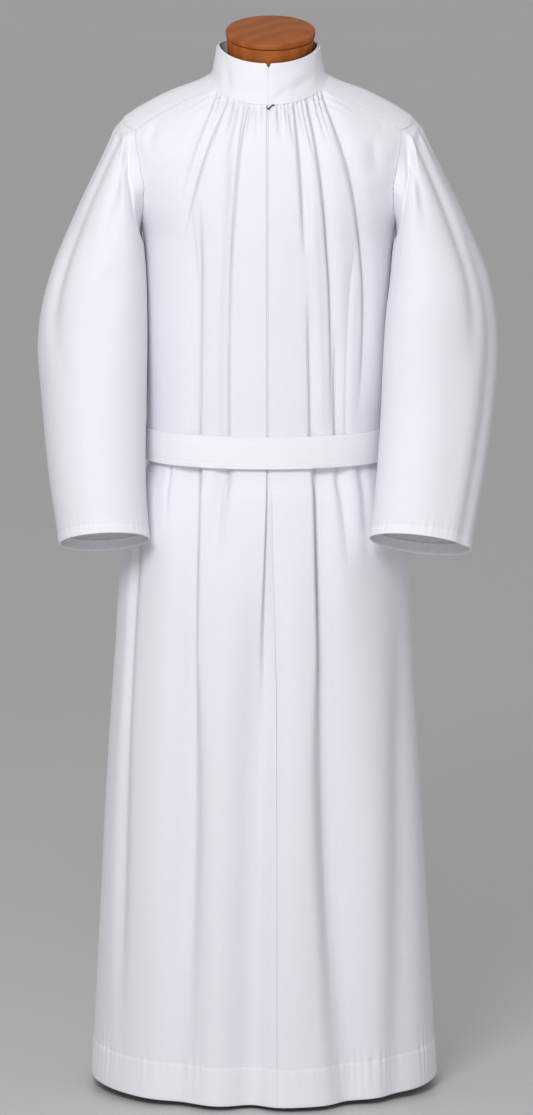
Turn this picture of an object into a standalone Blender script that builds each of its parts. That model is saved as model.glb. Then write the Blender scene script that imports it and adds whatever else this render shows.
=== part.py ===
"""White alb with a gathered stand collar, set-in sleeves and a belt, on a limbless dress form and its stand.

Metres, +Z up. The front of the alb faces -Y and +X is the viewer's right, so left and right below are the
viewer's. The origin is on the floor, under the stand.
"""

import math
from collections import namedtuple

import bmesh
import bpy
import numpy as np
from mathutils import Vector

CLOTH_WALL = 0.0020
HEM_DEPTH = 0.058
SEAM_GAP = 0.0005
ARMHOLE_GAP = 0.0013

# Levels along the cloth, measured down from the neck seam
V_NECK = 0.0
V_YOKE = 0.120
V_SHOULDER_TIP = 0.130
V_ARMPIT = 0.265
V_CHEST = 0.330
V_BELT_TOP = 0.560
V_BELT_BOTTOM = 0.608
V_HEM = 1.560

# The robe's sections. Each closed ring has its height at the front, side and back, and its half sizes.
Ring = namedtuple("Ring", "name v z_front z_side z_back half_width front back shift")
BODY_RINGS = [
    Ring("neck seam", V_NECK, 1.495, 1.528, 1.546, 0.088, 0.088, 0.072, 0.000),
    Ring("neck base", 0.020, 1.481, 1.520, 1.520, 0.110, 0.097, 0.083, 0.000),
    Ring("inner shoulder", 0.050, 1.461, 1.508, 1.508, 0.143, 0.106, 0.094, 0.000),
    Ring("mid shoulder", 0.080, 1.440, 1.4925, 1.493, 0.175, 0.113, 0.103, 0.000),
    Ring("outer shoulder", 0.105, 1.421, 1.478, 1.477, 0.200, 0.118, 0.110, 0.000),
    Ring("shoulder tip", V_SHOULDER_TIP, 1.400, 1.463, 1.458, 0.217, 0.121, 0.115, 0.000),
    Ring("arm top", 0.165, 1.372, 1.424, 1.424, 0.222, 0.124, 0.119, 0.000),
    Ring("arm middle", 0.205, 1.338, 1.372, 1.380, 0.210, 0.127, 0.121, 0.000),
    Ring("armpit", V_ARMPIT, 1.283, 1.297, 1.305, 0.187, 0.128, 0.121, 0.000),
    Ring("chest", V_CHEST, 1.233, 1.236, 1.240, 0.184, 0.128, 0.118, 0.000),
    Ring("ribs", 0.430, 1.134, 1.134, 1.136, 0.183, 0.126, 0.112, 0.000),
    Ring("under ribs", 0.495, 1.070, 1.070, 1.071, 0.182, 0.126, 0.111, 0.000),
    Ring("belt top", V_BELT_TOP, 1.005, 1.005, 1.005, 0.180, 0.125, 0.112, -0.002),
    Ring("belt bottom", V_BELT_BOTTOM, 0.957, 0.957, 0.957, 0.180, 0.125, 0.112, -0.003),
    Ring("gathers", 0.640, 0.925, 0.925, 0.925, 0.189, 0.136, 0.124, -0.004),
    Ring("upper hip", 0.700, 0.865, 0.865, 0.865, 0.204, 0.150, 0.141, -0.005),
    Ring("hip", 0.765, 0.800, 0.800, 0.800, 0.215, 0.161, 0.154, -0.006),
    Ring("thigh", 0.890, 0.677, 0.677, 0.677, 0.223, 0.172, 0.168, -0.007),
    Ring("knee", 1.080, 0.487, 0.490, 0.489, 0.235, 0.184, 0.182, -0.008),
    Ring("calf", 1.330, 0.238, 0.243, 0.241, 0.249, 0.196, 0.196, -0.007),
    Ring("hem", V_HEM, 0.009, 0.018, 0.014, 0.2615, 0.206, 0.208, -0.0065),
]
RIDGE_ROUNDING = 0.2
MOST_TANGENT = 2.5
BODY_CORE = (0.0, 0.0, 0.9)
SLEEVE_CORE = (0.260, -0.040, 1.150)

# Large folds, a row each: a valley at (x, v) that runs down through three points, on the front or the back.
Fold = namedtuple("Fold", "side v_top v_mid v_end x_top x_mid x_end depth left right fade_in fade_out")
FRONT, BACK = 1, -1
TORSO_FOLDS = [
    Fold(FRONT, 0.000, 0.090, 0.200, -0.077, -0.105, -0.134, 0.0055, 0.009, 0.011, 0.012, 0.110),
    Fold(FRONT, 0.000, 0.110, 0.260, -0.058, -0.077, -0.092, 0.0045, 0.008, 0.010, 0.012, 0.120),
    Fold(FRONT, 0.000, 0.200, 0.590, -0.035, -0.049, -0.063, 0.0060, 0.009, 0.006, 0.012, 0.060),
    Fold(FRONT, 0.000, 0.040, 0.085, -0.017, -0.017, -0.015, 0.0025, 0.005, 0.005, 0.008, 0.050),
    Fold(FRONT, 0.340, 0.450, 0.590, -0.098, -0.101, -0.104, 0.0045, 0.013, 0.008, 0.120, 0.030),
    Fold(FRONT, 0.000, 0.040, 0.085, 0.020, 0.020, 0.019, 0.0025, 0.005, 0.006, 0.008, 0.050),
    Fold(FRONT, 0.000, 0.200, 0.590, 0.038, 0.051, 0.066, 0.0065, 0.006, 0.010, 0.012, 0.060),
    Fold(FRONT, 0.000, 0.200, 0.590, 0.060, 0.088, 0.102, 0.0050, 0.008, 0.010, 0.012, 0.120),
    Fold(FRONT, 0.020, 0.170, 0.590, 0.077, 0.126, 0.128, 0.0045, 0.010, 0.014, 0.030, 0.150),
    Fold(FRONT, 0.060, 0.110, 0.170, 0.163, 0.177, 0.180, 0.0045, 0.006, 0.008, 0.020, 0.060),
    Fold(FRONT, 0.060, 0.100, 0.150, -0.160, -0.172, -0.177, 0.0055, 0.010, 0.010, 0.020, 0.060),
    Fold(BACK, 0.000, 0.200, 0.590, -0.045, -0.085, -0.090, 0.0050, 0.010, 0.010, 0.012, 0.100),
    Fold(BACK, 0.000, 0.150, 0.300, -0.018, -0.032, -0.036, 0.0040, 0.008, 0.008, 0.012, 0.150),
    Fold(BACK, 0.000, 0.200, 0.590, 0.012, 0.018, 0.020, 0.0050, 0.009, 0.009, 0.012, 0.100),
    Fold(BACK, 0.000, 0.200, 0.590, 0.040, 0.078, 0.086, 0.0050, 0.010, 0.010, 0.012, 0.120),
    Fold(BACK, 0.300, 0.450, 0.590, -0.130, -0.128, -0.126, 0.0040, 0.014, 0.012, 0.150, 0.030),
]
SKIRT_FOLDS = [
    Fold(FRONT, 0.600, 1.000, 1.700, -0.154, -0.208, -0.232, 0.0060, 0.012, 0.018, 0.200, 0.010),
    Fold(FRONT, 0.590, 0.900, 1.700, -0.107, -0.114, -0.128, 0.0120, 0.026, 0.006, 0.020, 0.400),
    Fold(FRONT, 0.700, 1.200, 1.700, -0.128, -0.130, -0.138, 0.0140, 0.034, 0.040, 0.600, 0.010),
    Fold(FRONT, 0.590, 0.650, 0.760, -0.064, -0.070, -0.078, 0.0060, 0.010, 0.008, 0.020, 0.090),
    Fold(FRONT, 0.700, 1.200, 1.700, -0.018, -0.020, 0.002, 0.0240, 0.045, 0.045, 0.700, 0.010),
    Fold(FRONT, 0.590, 0.900, 1.700, 0.072, 0.080, 0.112, 0.0130, 0.007, 0.026, 0.020, 0.500),
    Fold(FRONT, 0.700, 1.200, 1.700, 0.096, 0.112, 0.132, 0.0190, 0.030, 0.040, 0.500, 0.010),
    Fold(FRONT, 0.590, 0.650, 0.760, 0.107, 0.112, 0.120, 0.0060, 0.008, 0.012, 0.020, 0.090),
    Fold(FRONT, 0.700, 1.100, 1.700, 0.190, 0.200, 0.176, 0.0120, 0.018, 0.026, 0.400, 0.010),
    Fold(BACK, 0.600, 1.000, 1.700, -0.140, -0.170, -0.190, 0.0150, 0.028, 0.034, 0.300, 0.010),
    Fold(BACK, 0.590, 1.000, 1.700, -0.066, -0.080, -0.092, 0.0180, 0.022, 0.036, 0.300, 0.010),
    Fold(BACK, 0.590, 1.000, 1.700, 0.012, 0.010, 0.014, 0.0200, 0.030, 0.034, 0.400, 0.010),
    Fold(BACK, 0.590, 1.000, 1.700, 0.084, 0.096, 0.112, 0.0180, 0.034, 0.024, 0.300, 0.010),
    Fold(BACK, 0.600, 1.000, 1.700, 0.150, 0.180, 0.200, 0.0140, 0.030, 0.026, 0.300, 0.010),
]
FOLDS = TORSO_FOLDS + SKIRT_FOLDS

# Gathers sewn into the neck seam
GATHER_COUNT = 54
GATHER_DRIFT = 1.2
GATHER_DRIFT_TURNS = 5.0
GATHER_HEIGHT = 0.0015
GATHER_RISE = 0.004
GATHER_FADE = 0.040
BELT_PRESS = 0.92
BELT_EASE = 0.022

# The centre front: the right panel laps over the left one. Below the belt the left edge turns in and opens.
LAP_WIDTH = 0.014
LAP_DROP = CLOTH_WALL + 0.0011
Opening = namedtuple("Opening", "v left_edge right_edge tuck")
OPENING = [
    Opening(V_NECK, -0.0040, 0.0000, 0.0000),
    Opening(V_BELT_TOP, -0.0040, 0.0000, 0.0000),
    Opening(V_BELT_BOTTOM, -0.0042, 0.0005, 0.0005),
    Opening(0.640, -0.0044, 0.0045, 0.0030),
    Opening(0.740, -0.0075, 0.0075, 0.0065),
    Opening(0.860, -0.0135, 0.0115, 0.0070),
    Opening(0.990, -0.0175, 0.0133, 0.0060),
    Opening(1.170, -0.0300, 0.0133, 0.0030),
    Opening(V_HEM, -0.0320, 0.0133, 0.0010),
]
TUCK_TURN = 0.0035
TURN_SHARE = 0.3
TUCK_REACH = 0.012
TUCK_SHARE = 0.35

# Seams on the body, as an angle from the centre front and a level down the cloth
Seam = namedtuple("Seam", "v angle")
NECK_YOKE_ANGLE = 64.0
YOKE_SEAM = [Seam(0.000, NECK_YOKE_ANGLE), Seam(0.035, 64.5), Seam(0.075, 65.8), Seam(V_YOKE, 67.0)]
ARMHOLE = [
    Seam(V_YOKE, 67.0),
    Seam(0.140, 62.5),
    Seam(0.165, 58.5),
    Seam(0.185, 58.3),
    Seam(0.206, 61.5),
    Seam(0.232, 69.5),
    Seam(V_ARMPIT, 90.0),
]

# Near the neck the fronts' columns spread out to the sides, so that below it they run straight down
NECK_POWER = 0.62

# Sleeves: rings from the armhole to the cuff, by their outer and inner points seen from the front
Sleeve = namedtuple("Sleeve", "s x_outer z_outer y_outer x_inner z_inner y_inner half_depth pitch")
SLEEVE_LEFT = [
    Sleeve(0.30, 0.250, 1.404, -0.004, 0.191, 1.272, -0.006, 0.074, 2.0),
    Sleeve(0.42, 0.290, 1.320, -0.006, 0.186, 1.228, -0.014, 0.081, 4.0),
    Sleeve(0.54, 0.327, 1.228, -0.010, 0.183, 1.180, -0.030, 0.087, 7.0),
    Sleeve(0.66, 0.3435, 1.140, -0.016, 0.181, 1.120, -0.045, 0.088, 10.0),
    Sleeve(0.78, 0.337, 1.040, -0.040, 0.182, 1.030, -0.062, 0.084, 14.0),
    Sleeve(0.90, 0.325, 0.930, -0.078, 0.182, 0.932, -0.088, 0.076, 18.0),
    Sleeve(1.00, 0.310, 0.843, -0.112, 0.176, 0.850, -0.112, 0.068, 20.0),
]
SLEEVE_RIGHT = [
    Sleeve(0.30, 0.251, 1.404, -0.004, 0.191, 1.272, -0.014, 0.074, 2.0),
    Sleeve(0.42, 0.292, 1.320, -0.008, 0.180, 1.228, -0.048, 0.082, 4.0),
    Sleeve(0.54, 0.329, 1.228, -0.018, 0.174, 1.180, -0.065, 0.086, 7.0),
    Sleeve(0.66, 0.342, 1.140, -0.028, 0.170, 1.120, -0.075, 0.086, 11.0),
    Sleeve(0.78, 0.335, 1.040, -0.062, 0.166, 1.030, -0.088, 0.080, 15.0),
    Sleeve(0.90, 0.317, 0.930, -0.105, 0.159, 0.938, -0.120, 0.071, 19.0),
    Sleeve(1.00, 0.299, 0.839, -0.146, 0.149, 0.857, -0.146, 0.065, 21.0),
]
SLEEVE_LIP = 0.004
LIP_SPREAD = 0.3
SLEEVE_FADE_IN = 0.12
SLEEVE_FADE_OUT = 0.20

# Soft folds on a sleeve: a valley at an angle round it, from one place along it to another
SleeveFold = namedtuple("SleeveFold", "s_top s_end angle_top angle_end depth width")
SLEEVE_FOLDS_LEFT = [
    SleeveFold(0.06, 0.45, 62.0, 78.0, 0.0060, 12.0),
    SleeveFold(0.04, 0.70, 28.0, 42.0, 0.0045, 11.0),
    SleeveFold(0.40, 0.85, 110.0, 82.0, 0.0040, 16.0),
    SleeveFold(0.05, 0.80, 310.0, 300.0, 0.0050, 14.0),
]
SLEEVE_FOLDS_RIGHT = [
    SleeveFold(0.06, 0.40, 74.0, 88.0, 0.0060, 11.0),
    SleeveFold(0.03, 0.75, 38.0, 58.0, 0.0055, 12.0),
    SleeveFold(0.50, 1.10, 30.0, 34.0, 0.0060, 9.0),
    SleeveFold(0.05, 0.80, 312.0, 300.0, 0.0050, 14.0),
]

# The stand collar: half sizes at heights from the neck seam to the rim, all round
CollarRing = namedtuple("CollarRing", "h half_width front back")
COLLAR_RINGS = [
    CollarRing(0.00, 0.0880, 0.0880, 0.0720),
    CollarRing(0.14, 0.0845, 0.0858, 0.0714),
    CollarRing(0.45, 0.0812, 0.0822, 0.0708),
    CollarRing(1.00, 0.0770, 0.0770, 0.0695),
]
COLLAR_RIM_FRONT = 1.551
COLLAR_RIM_SIDE = 1.573
COLLAR_RIM_BACK = 1.581
COLLAR_WALL = 0.0022
FACING_WALL = 0.0014
FACING_RISE = 0.0022
FACING_GAP = 0.0010
FACING_FOOT = 0.0012
COLLAR_GAP = 0.0009
COLLAR_END_GAP = 0.0006
COLLAR_NOTCH = 0.006
COLLAR_NOTCH_WIDTH = 0.005

BELT_OUT = 0.0008
BELT_WALL = 0.0024

YOKE_MARGIN = 0.0065
YOKE_LINES = [0.0, 0.07, 0.28, 0.5, 0.72, 0.93, 1.0]
YOKE_BAND_LINES = [0.010, 0.075, 0.14]
YOKE_BAND_WALL = 0.0008
YOKE_BAND_LIFT = 0.0006

# A wire hook and its bar below the collar, as places on the fronts and heights above them
WIRE_RADIUS = 0.00055
WirePoint = namedtuple("WirePoint", "x v lift")
HOOK_WIRE = [
    WirePoint(0.0072, 0.0052, 0.0010),
    WirePoint(0.0082, 0.0040, 0.0010),
    WirePoint(0.0076, 0.0028, 0.0010),
    WirePoint(0.0062, 0.0030, 0.0011),
    WirePoint(0.0045, 0.0052, 0.0018),
    WirePoint(0.0022, 0.0084, 0.0029),
    WirePoint(0.0004, 0.0108, 0.0031),
    WirePoint(-0.0010, 0.0114, 0.0030),
    WirePoint(-0.0018, 0.0104, 0.0028),
]
BAR_WIRE = [
    WirePoint(-0.0030, 0.0070, 0.0010),
    WirePoint(-0.0022, 0.0082, 0.0010),
    WirePoint(0.0012, 0.0116, 0.0010),
    WirePoint(0.0014, 0.0130, 0.0010),
]

# The dress form and its stand
NECK_TILT = 15.0
NECK_RADIUS = 0.0652
CAP_RADIUS = 0.0664
CAP_THICK = 0.0085
CAP_GROOVE = 0.0013
CAP_CENTRE = (0.003, -0.001, 1.5965)
CAP_LIP = 0.0022
LIP_BEVEL = 0.3
BLOCK_LIP = 0.001
BLOCK_SEAT = 0.002
TONGUE_RADIUS = 0.033
NECK_MIDDLE_RADIUS = 0.0622
NECK_MIDDLE_TILT = 9.0
NECK_FOOT_Y = -0.005
FORM_SIDES = 32
POLE_SIDES = 16
EDGE_BEVEL = 0.002
NECK_MIDDLE_Z = 1.560
NECK_FOOT_Z = 1.518
NECK_FOOT_RADIUS = 0.058
REST_GAP = 0.0003
FORM_EASE = 0.0012
POLE_RADIUS = 0.016
BASE_RADIUS = 0.160
BASE_THICK = 0.010
FormRing = namedtuple("FormRing", "z half_width front back")
FORM_RINGS = [
    FormRing(0.800, 0.150, 0.098, 0.096),
    FormRing(0.815, 0.168, 0.110, 0.108),
    FormRing(0.870, 0.174, 0.114, 0.110),
    FormRing(0.960, 0.160, 0.103, 0.092),
    FormRing(1.030, 0.152, 0.100, 0.088),
    FormRing(1.120, 0.156, 0.108, 0.094),
    FormRing(1.230, 0.166, 0.114, 0.104),
    FormRing(1.300, 0.172, 0.113, 0.108),
]

# Above the armpit the form is the robe's shape, moved in by these amounts at the sides and the front and back
ShoulderRing = namedtuple("ShoulderRing", "v side_in end_in most_x")
SHOULDER_RINGS = [
    ShoulderRing(0.230, 0.0150, 0.0140, 0.174),
    ShoulderRing(0.190, 0.0150, 0.0140, 0.178),
    ShoulderRing(0.155, 0.0120, 0.0130, 0.190),
    ShoulderRing(0.124, CLOTH_WALL + FORM_EASE, 0.0120, 0.203),
    ShoulderRing(0.100, CLOTH_WALL + FORM_EASE, 0.0110, 0.203),
    ShoulderRing(0.075, CLOTH_WALL + FORM_EASE, 0.0110, 0.203),
    ShoulderRing(0.050, CLOTH_WALL + FORM_EASE, 0.0105, 0.203),
    ShoulderRing(0.028, CLOTH_WALL + FORM_EASE, 0.0105, 0.203),
]

WHITE = (0.86, 0.86, 0.885, 1.0)
LINEN = (0.80, 0.77, 0.70, 1.0)
WOOD = (0.33, 0.115, 0.035, 1.0)
STEEL = (0.42, 0.42, 0.44, 1.0)
HOOK_METAL = (0.10, 0.095, 0.10, 1.0)
IRON = (0.09, 0.09, 0.095, 1.0)


def smoothstep(low, high, value):
    """0 below low, 1 above high, and an S curve between them."""
    t = np.clip((np.asarray(value, float) - low) / (high - low), 0.0, 1.0)
    return t * t * (3.0 - 2.0 * t)


def along(rows, column, at, where="v"):
    """A table's column, read between its rows with a smooth curve that doesn't overshoot."""
    x = np.array([getattr(row, where) for row in rows], float)
    y = np.array([getattr(row, column) for row in rows], float)
    step = np.diff(x)
    slope = np.diff(y) / step
    inner = (slope[:-1] * step[1:] + slope[1:] * step[:-1]) / (step[:-1] + step[1:])
    inner = np.where(slope[:-1] * slope[1:] <= 0, 0.0, inner)
    steepest = MOST_TANGENT * np.minimum(abs(slope[:-1]), abs(slope[1:]))
    inner = np.clip(inner, -steepest, steepest)
    tangent = np.concatenate([slope[:1], inner, slope[-1:]])
    at = np.clip(np.asarray(at, float), x[0], x[-1])
    i = np.clip(np.searchsorted(x, at, side="right") - 1, 0, len(step) - 1)
    h = step[i]
    t = (at - x[i]) / h
    return (
        y[i] * (1 + 2 * t) * (1 - t) ** 2
        + tangent[i] * h * t * (1 - t) ** 2
        + y[i + 1] * t * t * (3 - 2 * t)
        + tangent[i + 1] * h * t * t * (t - 1)
    )


def spread(stops):
    """Values from a short list of (end, count) stretches, starting at the first end."""
    values = [stops[0][0]]
    for (start, _), (end, count) in zip(stops, stops[1:]):
        values += [start + (end - start) * (k + 1) / count for k in range(count)]
    return values


PANEL_LEVELS = spread(
    [
        (0.0, 0), (0.003, 1), (0.014, 1), (0.05, 2), (V_YOKE, 3), (0.142, 2), (0.205, 3), (0.247, 2),
        (V_ARMPIT, 2), (V_CHEST, 2), (0.545, 3), (V_BELT_TOP, 1), (V_BELT_BOTTOM, 1), (0.640, 1),
        (0.80, 3), (V_HEM - HEM_DEPTH, 5), (V_HEM, 1),
    ]
)


def body_base(angle, v):
    """The robe without its folds, at an angle in degrees from the centre front and a level v."""
    turn = np.radians(angle)
    sine, cosine = np.sin(turn), np.cos(turn)
    at_front = cosine >= 0
    half_width = along(BODY_RINGS, "half_width", v)
    depth = np.where(at_front, along(BODY_RINGS, "front", v), along(BODY_RINGS, "back", v))
    z_side = along(BODY_RINGS, "z_side", v)
    z_end = np.where(at_front, along(BODY_RINGS, "z_front", v), along(BODY_RINGS, "z_back", v))
    reach = abs(cosine)
    fall = reach * reach * (1 + RIDGE_ROUNDING) / (reach + RIDGE_ROUNDING)
    x = along(BODY_RINGS, "shift", v) + half_width * sine
    return np.stack([x, -depth * cosine, z_side + (z_end - z_side) * fall], axis=-1)


def unit(vectors):
    """The same directions with length 1."""
    return vectors / np.maximum(np.linalg.norm(vectors, axis=-1, keepdims=True), 1e-12)


def body_normal(angle, v):
    """The outward direction of the robe without its folds."""
    across = body_base(angle + 0.5, v) - body_base(angle - 0.5, v)
    down = body_base(angle, v + 0.002) - body_base(angle, v - 0.002)
    return unit(np.cross(down, across))


def fold_depth(angle, v):
    """How far the folds push the cloth out, which is negative in a valley."""
    angle, v = np.broadcast_arrays(np.asarray(angle, float), np.asarray(v, float))
    half_width = along(BODY_RINGS, "half_width", v)
    shift = along(BODY_RINGS, "shift", v)
    turn = np.radians(angle)
    total = np.zeros(v.shape)
    for fold in FOLDS:
        depth_column = "front" if fold.side == FRONT else "back"
        depth = along(BODY_RINGS, depth_column, v)
        t = (v - fold.v_top) / (fold.v_end - fold.v_top)
        mid = (fold.v_mid - fold.v_top) / (fold.v_end - fold.v_top)
        bend = (fold.x_mid - fold.x_top - (fold.x_end - fold.x_top) * mid) / (mid * (mid - 1))
        x = fold.x_top + (fold.x_end - fold.x_top) * t + bend * t * (t - 1)
        path = np.arcsin(np.clip((x - shift) / half_width, -0.995, 0.995))
        if fold.side == BACK:
            path = math.pi - path
        off = (turn - path + math.pi) % (2 * math.pi) - math.pi
        middle = turn - off / 2
        pace = np.hypot(half_width * np.cos(middle), depth * np.sin(middle))
        distance = off * pace
        if fold.side == BACK:
            distance = -distance
        width = np.where(distance < 0, fold.left, fold.right)
        shape = np.exp(-((distance / width) ** 2))
        fade = smoothstep(fold.v_top, fold.v_top + fold.fade_in, v)
        fade = fade * (1 - smoothstep(fold.v_end - fold.fade_out, fold.v_end, v))
        total = total - fold.depth * fade * shape
    press = smoothstep(V_BELT_TOP - BELT_EASE, V_BELT_TOP, v)
    press = press * (1 - smoothstep(V_BELT_BOTTOM, V_BELT_BOTTOM + BELT_EASE, v))
    return total * (1 - BELT_PRESS * press)


def gather_height(angle, v):
    """Fine gathers that leave the neck seam and soon fade out, on the front and the back."""
    turn = np.radians(angle)
    waves = np.cos(turn * GATHER_COUNT + GATHER_DRIFT * np.sin(turn * GATHER_DRIFT_TURNS))
    rise = 1 - np.exp(-np.asarray(v, float) / GATHER_RISE)
    fade = np.exp(-((np.asarray(v, float) / GATHER_FADE) ** 2))
    from_front = abs((np.asarray(angle, float) + 180.0) % 360.0 - 180.0)
    off_centre = smoothstep(8.0, 14.0, from_front)
    return GATHER_HEIGHT * waves * rise * fade * off_centre


def seam_angle(rows, v):
    """A seam's angle from the centre front at a level."""
    return along(rows, "angle", v)


def edge_angle(v):
    """Where a front or back panel ends: the yoke seam, below it the armhole, and then the side seam."""
    above_armpit = np.where(np.asarray(v) < V_YOKE, seam_angle(YOKE_SEAM, v), seam_angle(ARMHOLE, v))
    return np.where(np.asarray(v) < V_ARMPIT, above_armpit, 90.0)


def side_trim(v):
    """Half the side seam's gap as an angle, and 0 above the armpit."""
    return np.where(np.asarray(v) < V_ARMPIT, 0.0, np.degrees(SEAM_GAP / 2 / along(BODY_RINGS, "back", v)))


def quiet_edges(angle, v):
    """1 inside a panel, falling to 0 at the armhole and yoke seams, where pieces must meet."""
    from_side = abs((np.asarray(angle, float) + 180.0) % 360.0 - 180.0)
    from_side = np.where(from_side > 90.0, 180.0 - from_side, from_side)
    inside = smoothstep(1.5, 10.0, edge_angle(np.minimum(v, V_ARMPIT - 1e-6)) - from_side)
    below = smoothstep(V_ARMPIT - 0.02, V_ARMPIT + 0.05, v)
    return inside + (1 - inside) * below


def body_point(angle, v, lift=0.0):
    """The robe's outer surface with its folds, moved out by lift."""
    out = (fold_depth(angle, v) + gather_height(angle, v)) * quiet_edges(angle, v) + lift
    return body_base(angle, v) + body_normal(angle, v) * out[..., None]


def angle_at(x, v):
    """The angle at which the front has this x."""
    reach = (x - along(BODY_RINGS, "shift", v)) / along(BODY_RINGS, "half_width", v)
    return np.degrees(np.arcsin(np.clip(reach, -1, 1)))


def panel_angle(s, v, inner_angle):
    """A panel's columns: s is 0 at its centre edge, and 1 at the yoke seam, the armhole and the side seam."""
    start = inner_angle(v)
    power = NECK_POWER + (1 - NECK_POWER) * smoothstep(0.0, V_SHOULDER_TIP, v)
    return start + s**power * (edge_angle(v) - side_trim(v) - start)


def lap_offset(x, v, side):
    """How far a front panel sits inside the robe's surface near the centre front."""
    tuck = along(OPENING, "tuck", v)
    if side < 0:
        under = smoothstep(0.0, 1.0, (x - along(OPENING, "left_edge", v)) / TUCK_TURN)
        return -(LAP_DROP + tuck) * under
    return -TUCK_SHARE * tuck * np.exp(-np.maximum(x - along(OPENING, "right_edge", v), 0) / TUCK_REACH)


def front_surface(side):
    """The outer surface of a front panel, as a function of its own net.

    The left panel's net starts at s = -1, the far edge of the strip under the right panel.
    """

    def inner_angle(v):
        return side * angle_at(along(OPENING, "left_edge" if side < 0 else "right_edge", v), v)

    def shape(s, v):
        angle = panel_angle(np.maximum(s, 0.0), v, inner_angle)
        fold_x = along(OPENING, "left_edge", v)
        hidden_x = along(OPENING, "right_edge", v) + LAP_WIDTH
        turned = np.clip(-s / TURN_SHARE, 0, 1) * TUCK_TURN
        strip = np.clip((-s - TURN_SHARE) / (1 - TURN_SHARE), 0, 1)
        strip_x = fold_x + turned + (hidden_x - fold_x - TUCK_TURN) * strip
        angle = np.where(s < 0, side * angle_at(strip_x, v), angle) * side
        x = body_base(angle, v)[..., 0]
        return body_point(angle, v, lap_offset(x, v, side))

    return shape


def back_surface():
    """The outer surface of the back panel, from its right side seam round to its left one."""

    def shape(s, v):
        return body_point(180.0 - s * (edge_angle(v) - side_trim(v)), v)

    return shape


def yoke_net(side, p, q):
    """A shoulder yoke's angle and level: p runs from the neck to the armhole, q from front to back."""
    v = V_YOKE * p
    front_angle = seam_angle(YOKE_SEAM, v)
    angle = front_angle * (1 - q) + (180.0 - front_angle) * q
    v = v + (V_SHOULDER_TIP - V_YOKE) * p * p * 4 * q * (1 - q)
    return angle * side, v


def armhole_points(side):
    """Points round an armhole, from the shoulder tip over the front and back: turns, angles and levels.

    They are the edge points of the yoke, front and back panels, so that the sleeve's first ring follows
    the same straight stretches. The turn is 0 at the tip, 90 near the front and 180 in the armpit.
    """
    top_angle, top_v = yoke_net(1, np.ones(len(YOKE_LINES)), np.array(YOKE_LINES))
    tip = len(YOKE_LINES) // 2
    edge_v = np.array([level for level in PANEL_LEVELS if V_YOKE <= level <= V_ARMPIT])
    angle = np.concatenate([top_angle[tip:0:-1], edge_angle(edge_v)])
    v = np.concatenate([top_v[tip:0:-1], edge_v])
    places = body_base(angle, v)
    run = np.concatenate([[0.0], np.cumsum(np.linalg.norm(np.diff(places, axis=0), axis=1))])
    turn = 180.0 * run / run[-1]
    turns = np.concatenate([turn, 360.0 - turn[-2::-1]])
    angles = np.concatenate([angle, 180.0 - angle[-2::-1]])
    return turns, angles * side, np.concatenate([v, v[-2::-1]])


def sleeve_surface(side, rows, folds):
    """The outer surface of a sleeve: turn goes round it, s runs from the armhole to the cuff."""

    def ring(row, turn):
        half_turn = np.radians(turn)
        outer = np.array([row.x_outer * side, row.y_outer, row.z_outer])
        inner = np.array([row.x_inner * side, row.y_inner, row.z_inner])
        pitch = math.radians(row.pitch)
        front = np.array([0.0, -math.cos(pitch), math.sin(pitch)]) * row.half_depth
        return (
            (outer + inner) / 2
            + np.cos(half_turn)[:, None] * (outer - inner) / 2
            + np.sin(half_turn)[:, None] * front
        )

    def shape(turn, s):
        places = s[0]
        turns, angle, v = armhole_points(side)
        start = body_base(angle, v)
        normal = body_normal(angle, v)
        first = ring(rows[0], turns)
        centre = start.mean(axis=0)
        outward = unit(start - centre)
        leave = unit(first - start)
        along_body = unit(np.cross(normal, np.cross(outward, normal))) * -1.0
        along_body = along_body - (along_body * normal).sum(-1, keepdims=True) * normal
        agree = smoothstep(-0.1, 0.5, (along_body * leave).sum(-1))[:, None]
        away = unit(along_body * agree + leave * (1 - agree) + np.array([side * LIP_SPREAD, 0, 0]))
        knots = [start + away * ARMHOLE_GAP, start + away * (ARMHOLE_GAP + SLEEVE_LIP)]
        spots = [0.0, 0.02]
        for row in rows:
            knots.append(ring(row, turns))
            spots.append(row.s)
        net = hermite(np.array(knots), np.array(spots), places)
        out = np.zeros(turn.shape)
        for fold in folds:
            share = np.clip((s - fold.s_top) / (fold.s_end - fold.s_top), 0, 1)
            path = fold.angle_top + (fold.angle_end - fold.angle_top) * share
            off = (turn - path + 180.0) % 360.0 - 180.0
            fade = smoothstep(fold.s_top, fold.s_top + SLEEVE_FADE_IN, s)
            fade = fade * (1 - smoothstep(fold.s_end - SLEEVE_FADE_OUT, fold.s_end, s))
            out = out - fold.depth * fade * np.exp(-((off / fold.width) ** 2))
        middle = net.mean(axis=0, keepdims=True)
        return net + unit(net - middle) * out[..., None]

    return shape


def hermite(knots, spots, places):
    """Points on smooth curves through the knots: knots[k] holds a ring, and spots[k] its place."""
    step = np.diff(spots)
    slope = np.diff(knots, axis=0) / step[:, None, None]
    weight = step[1:, None, None] / (step[1:] + step[:-1])[:, None, None]
    inner = slope[:-1] * weight + slope[1:] * (1 - weight)
    tangent = np.concatenate([slope[:1], inner, slope[-1:]])
    rings = []
    for place in places:
        i = int(np.clip(np.searchsorted(spots, place, side="right") - 1, 0, len(step) - 1))
        h = step[i]
        t = (place - spots[i]) / h
        rings.append(
            knots[i] * (1 + 2 * t) * (1 - t) ** 2
            + tangent[i] * h * t * (1 - t) ** 2
            + knots[i + 1] * t * t * (3 - 2 * t)
            + tangent[i + 1] * h * t * t * (t - 1)
        )
    return np.stack(rings, axis=1)


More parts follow.
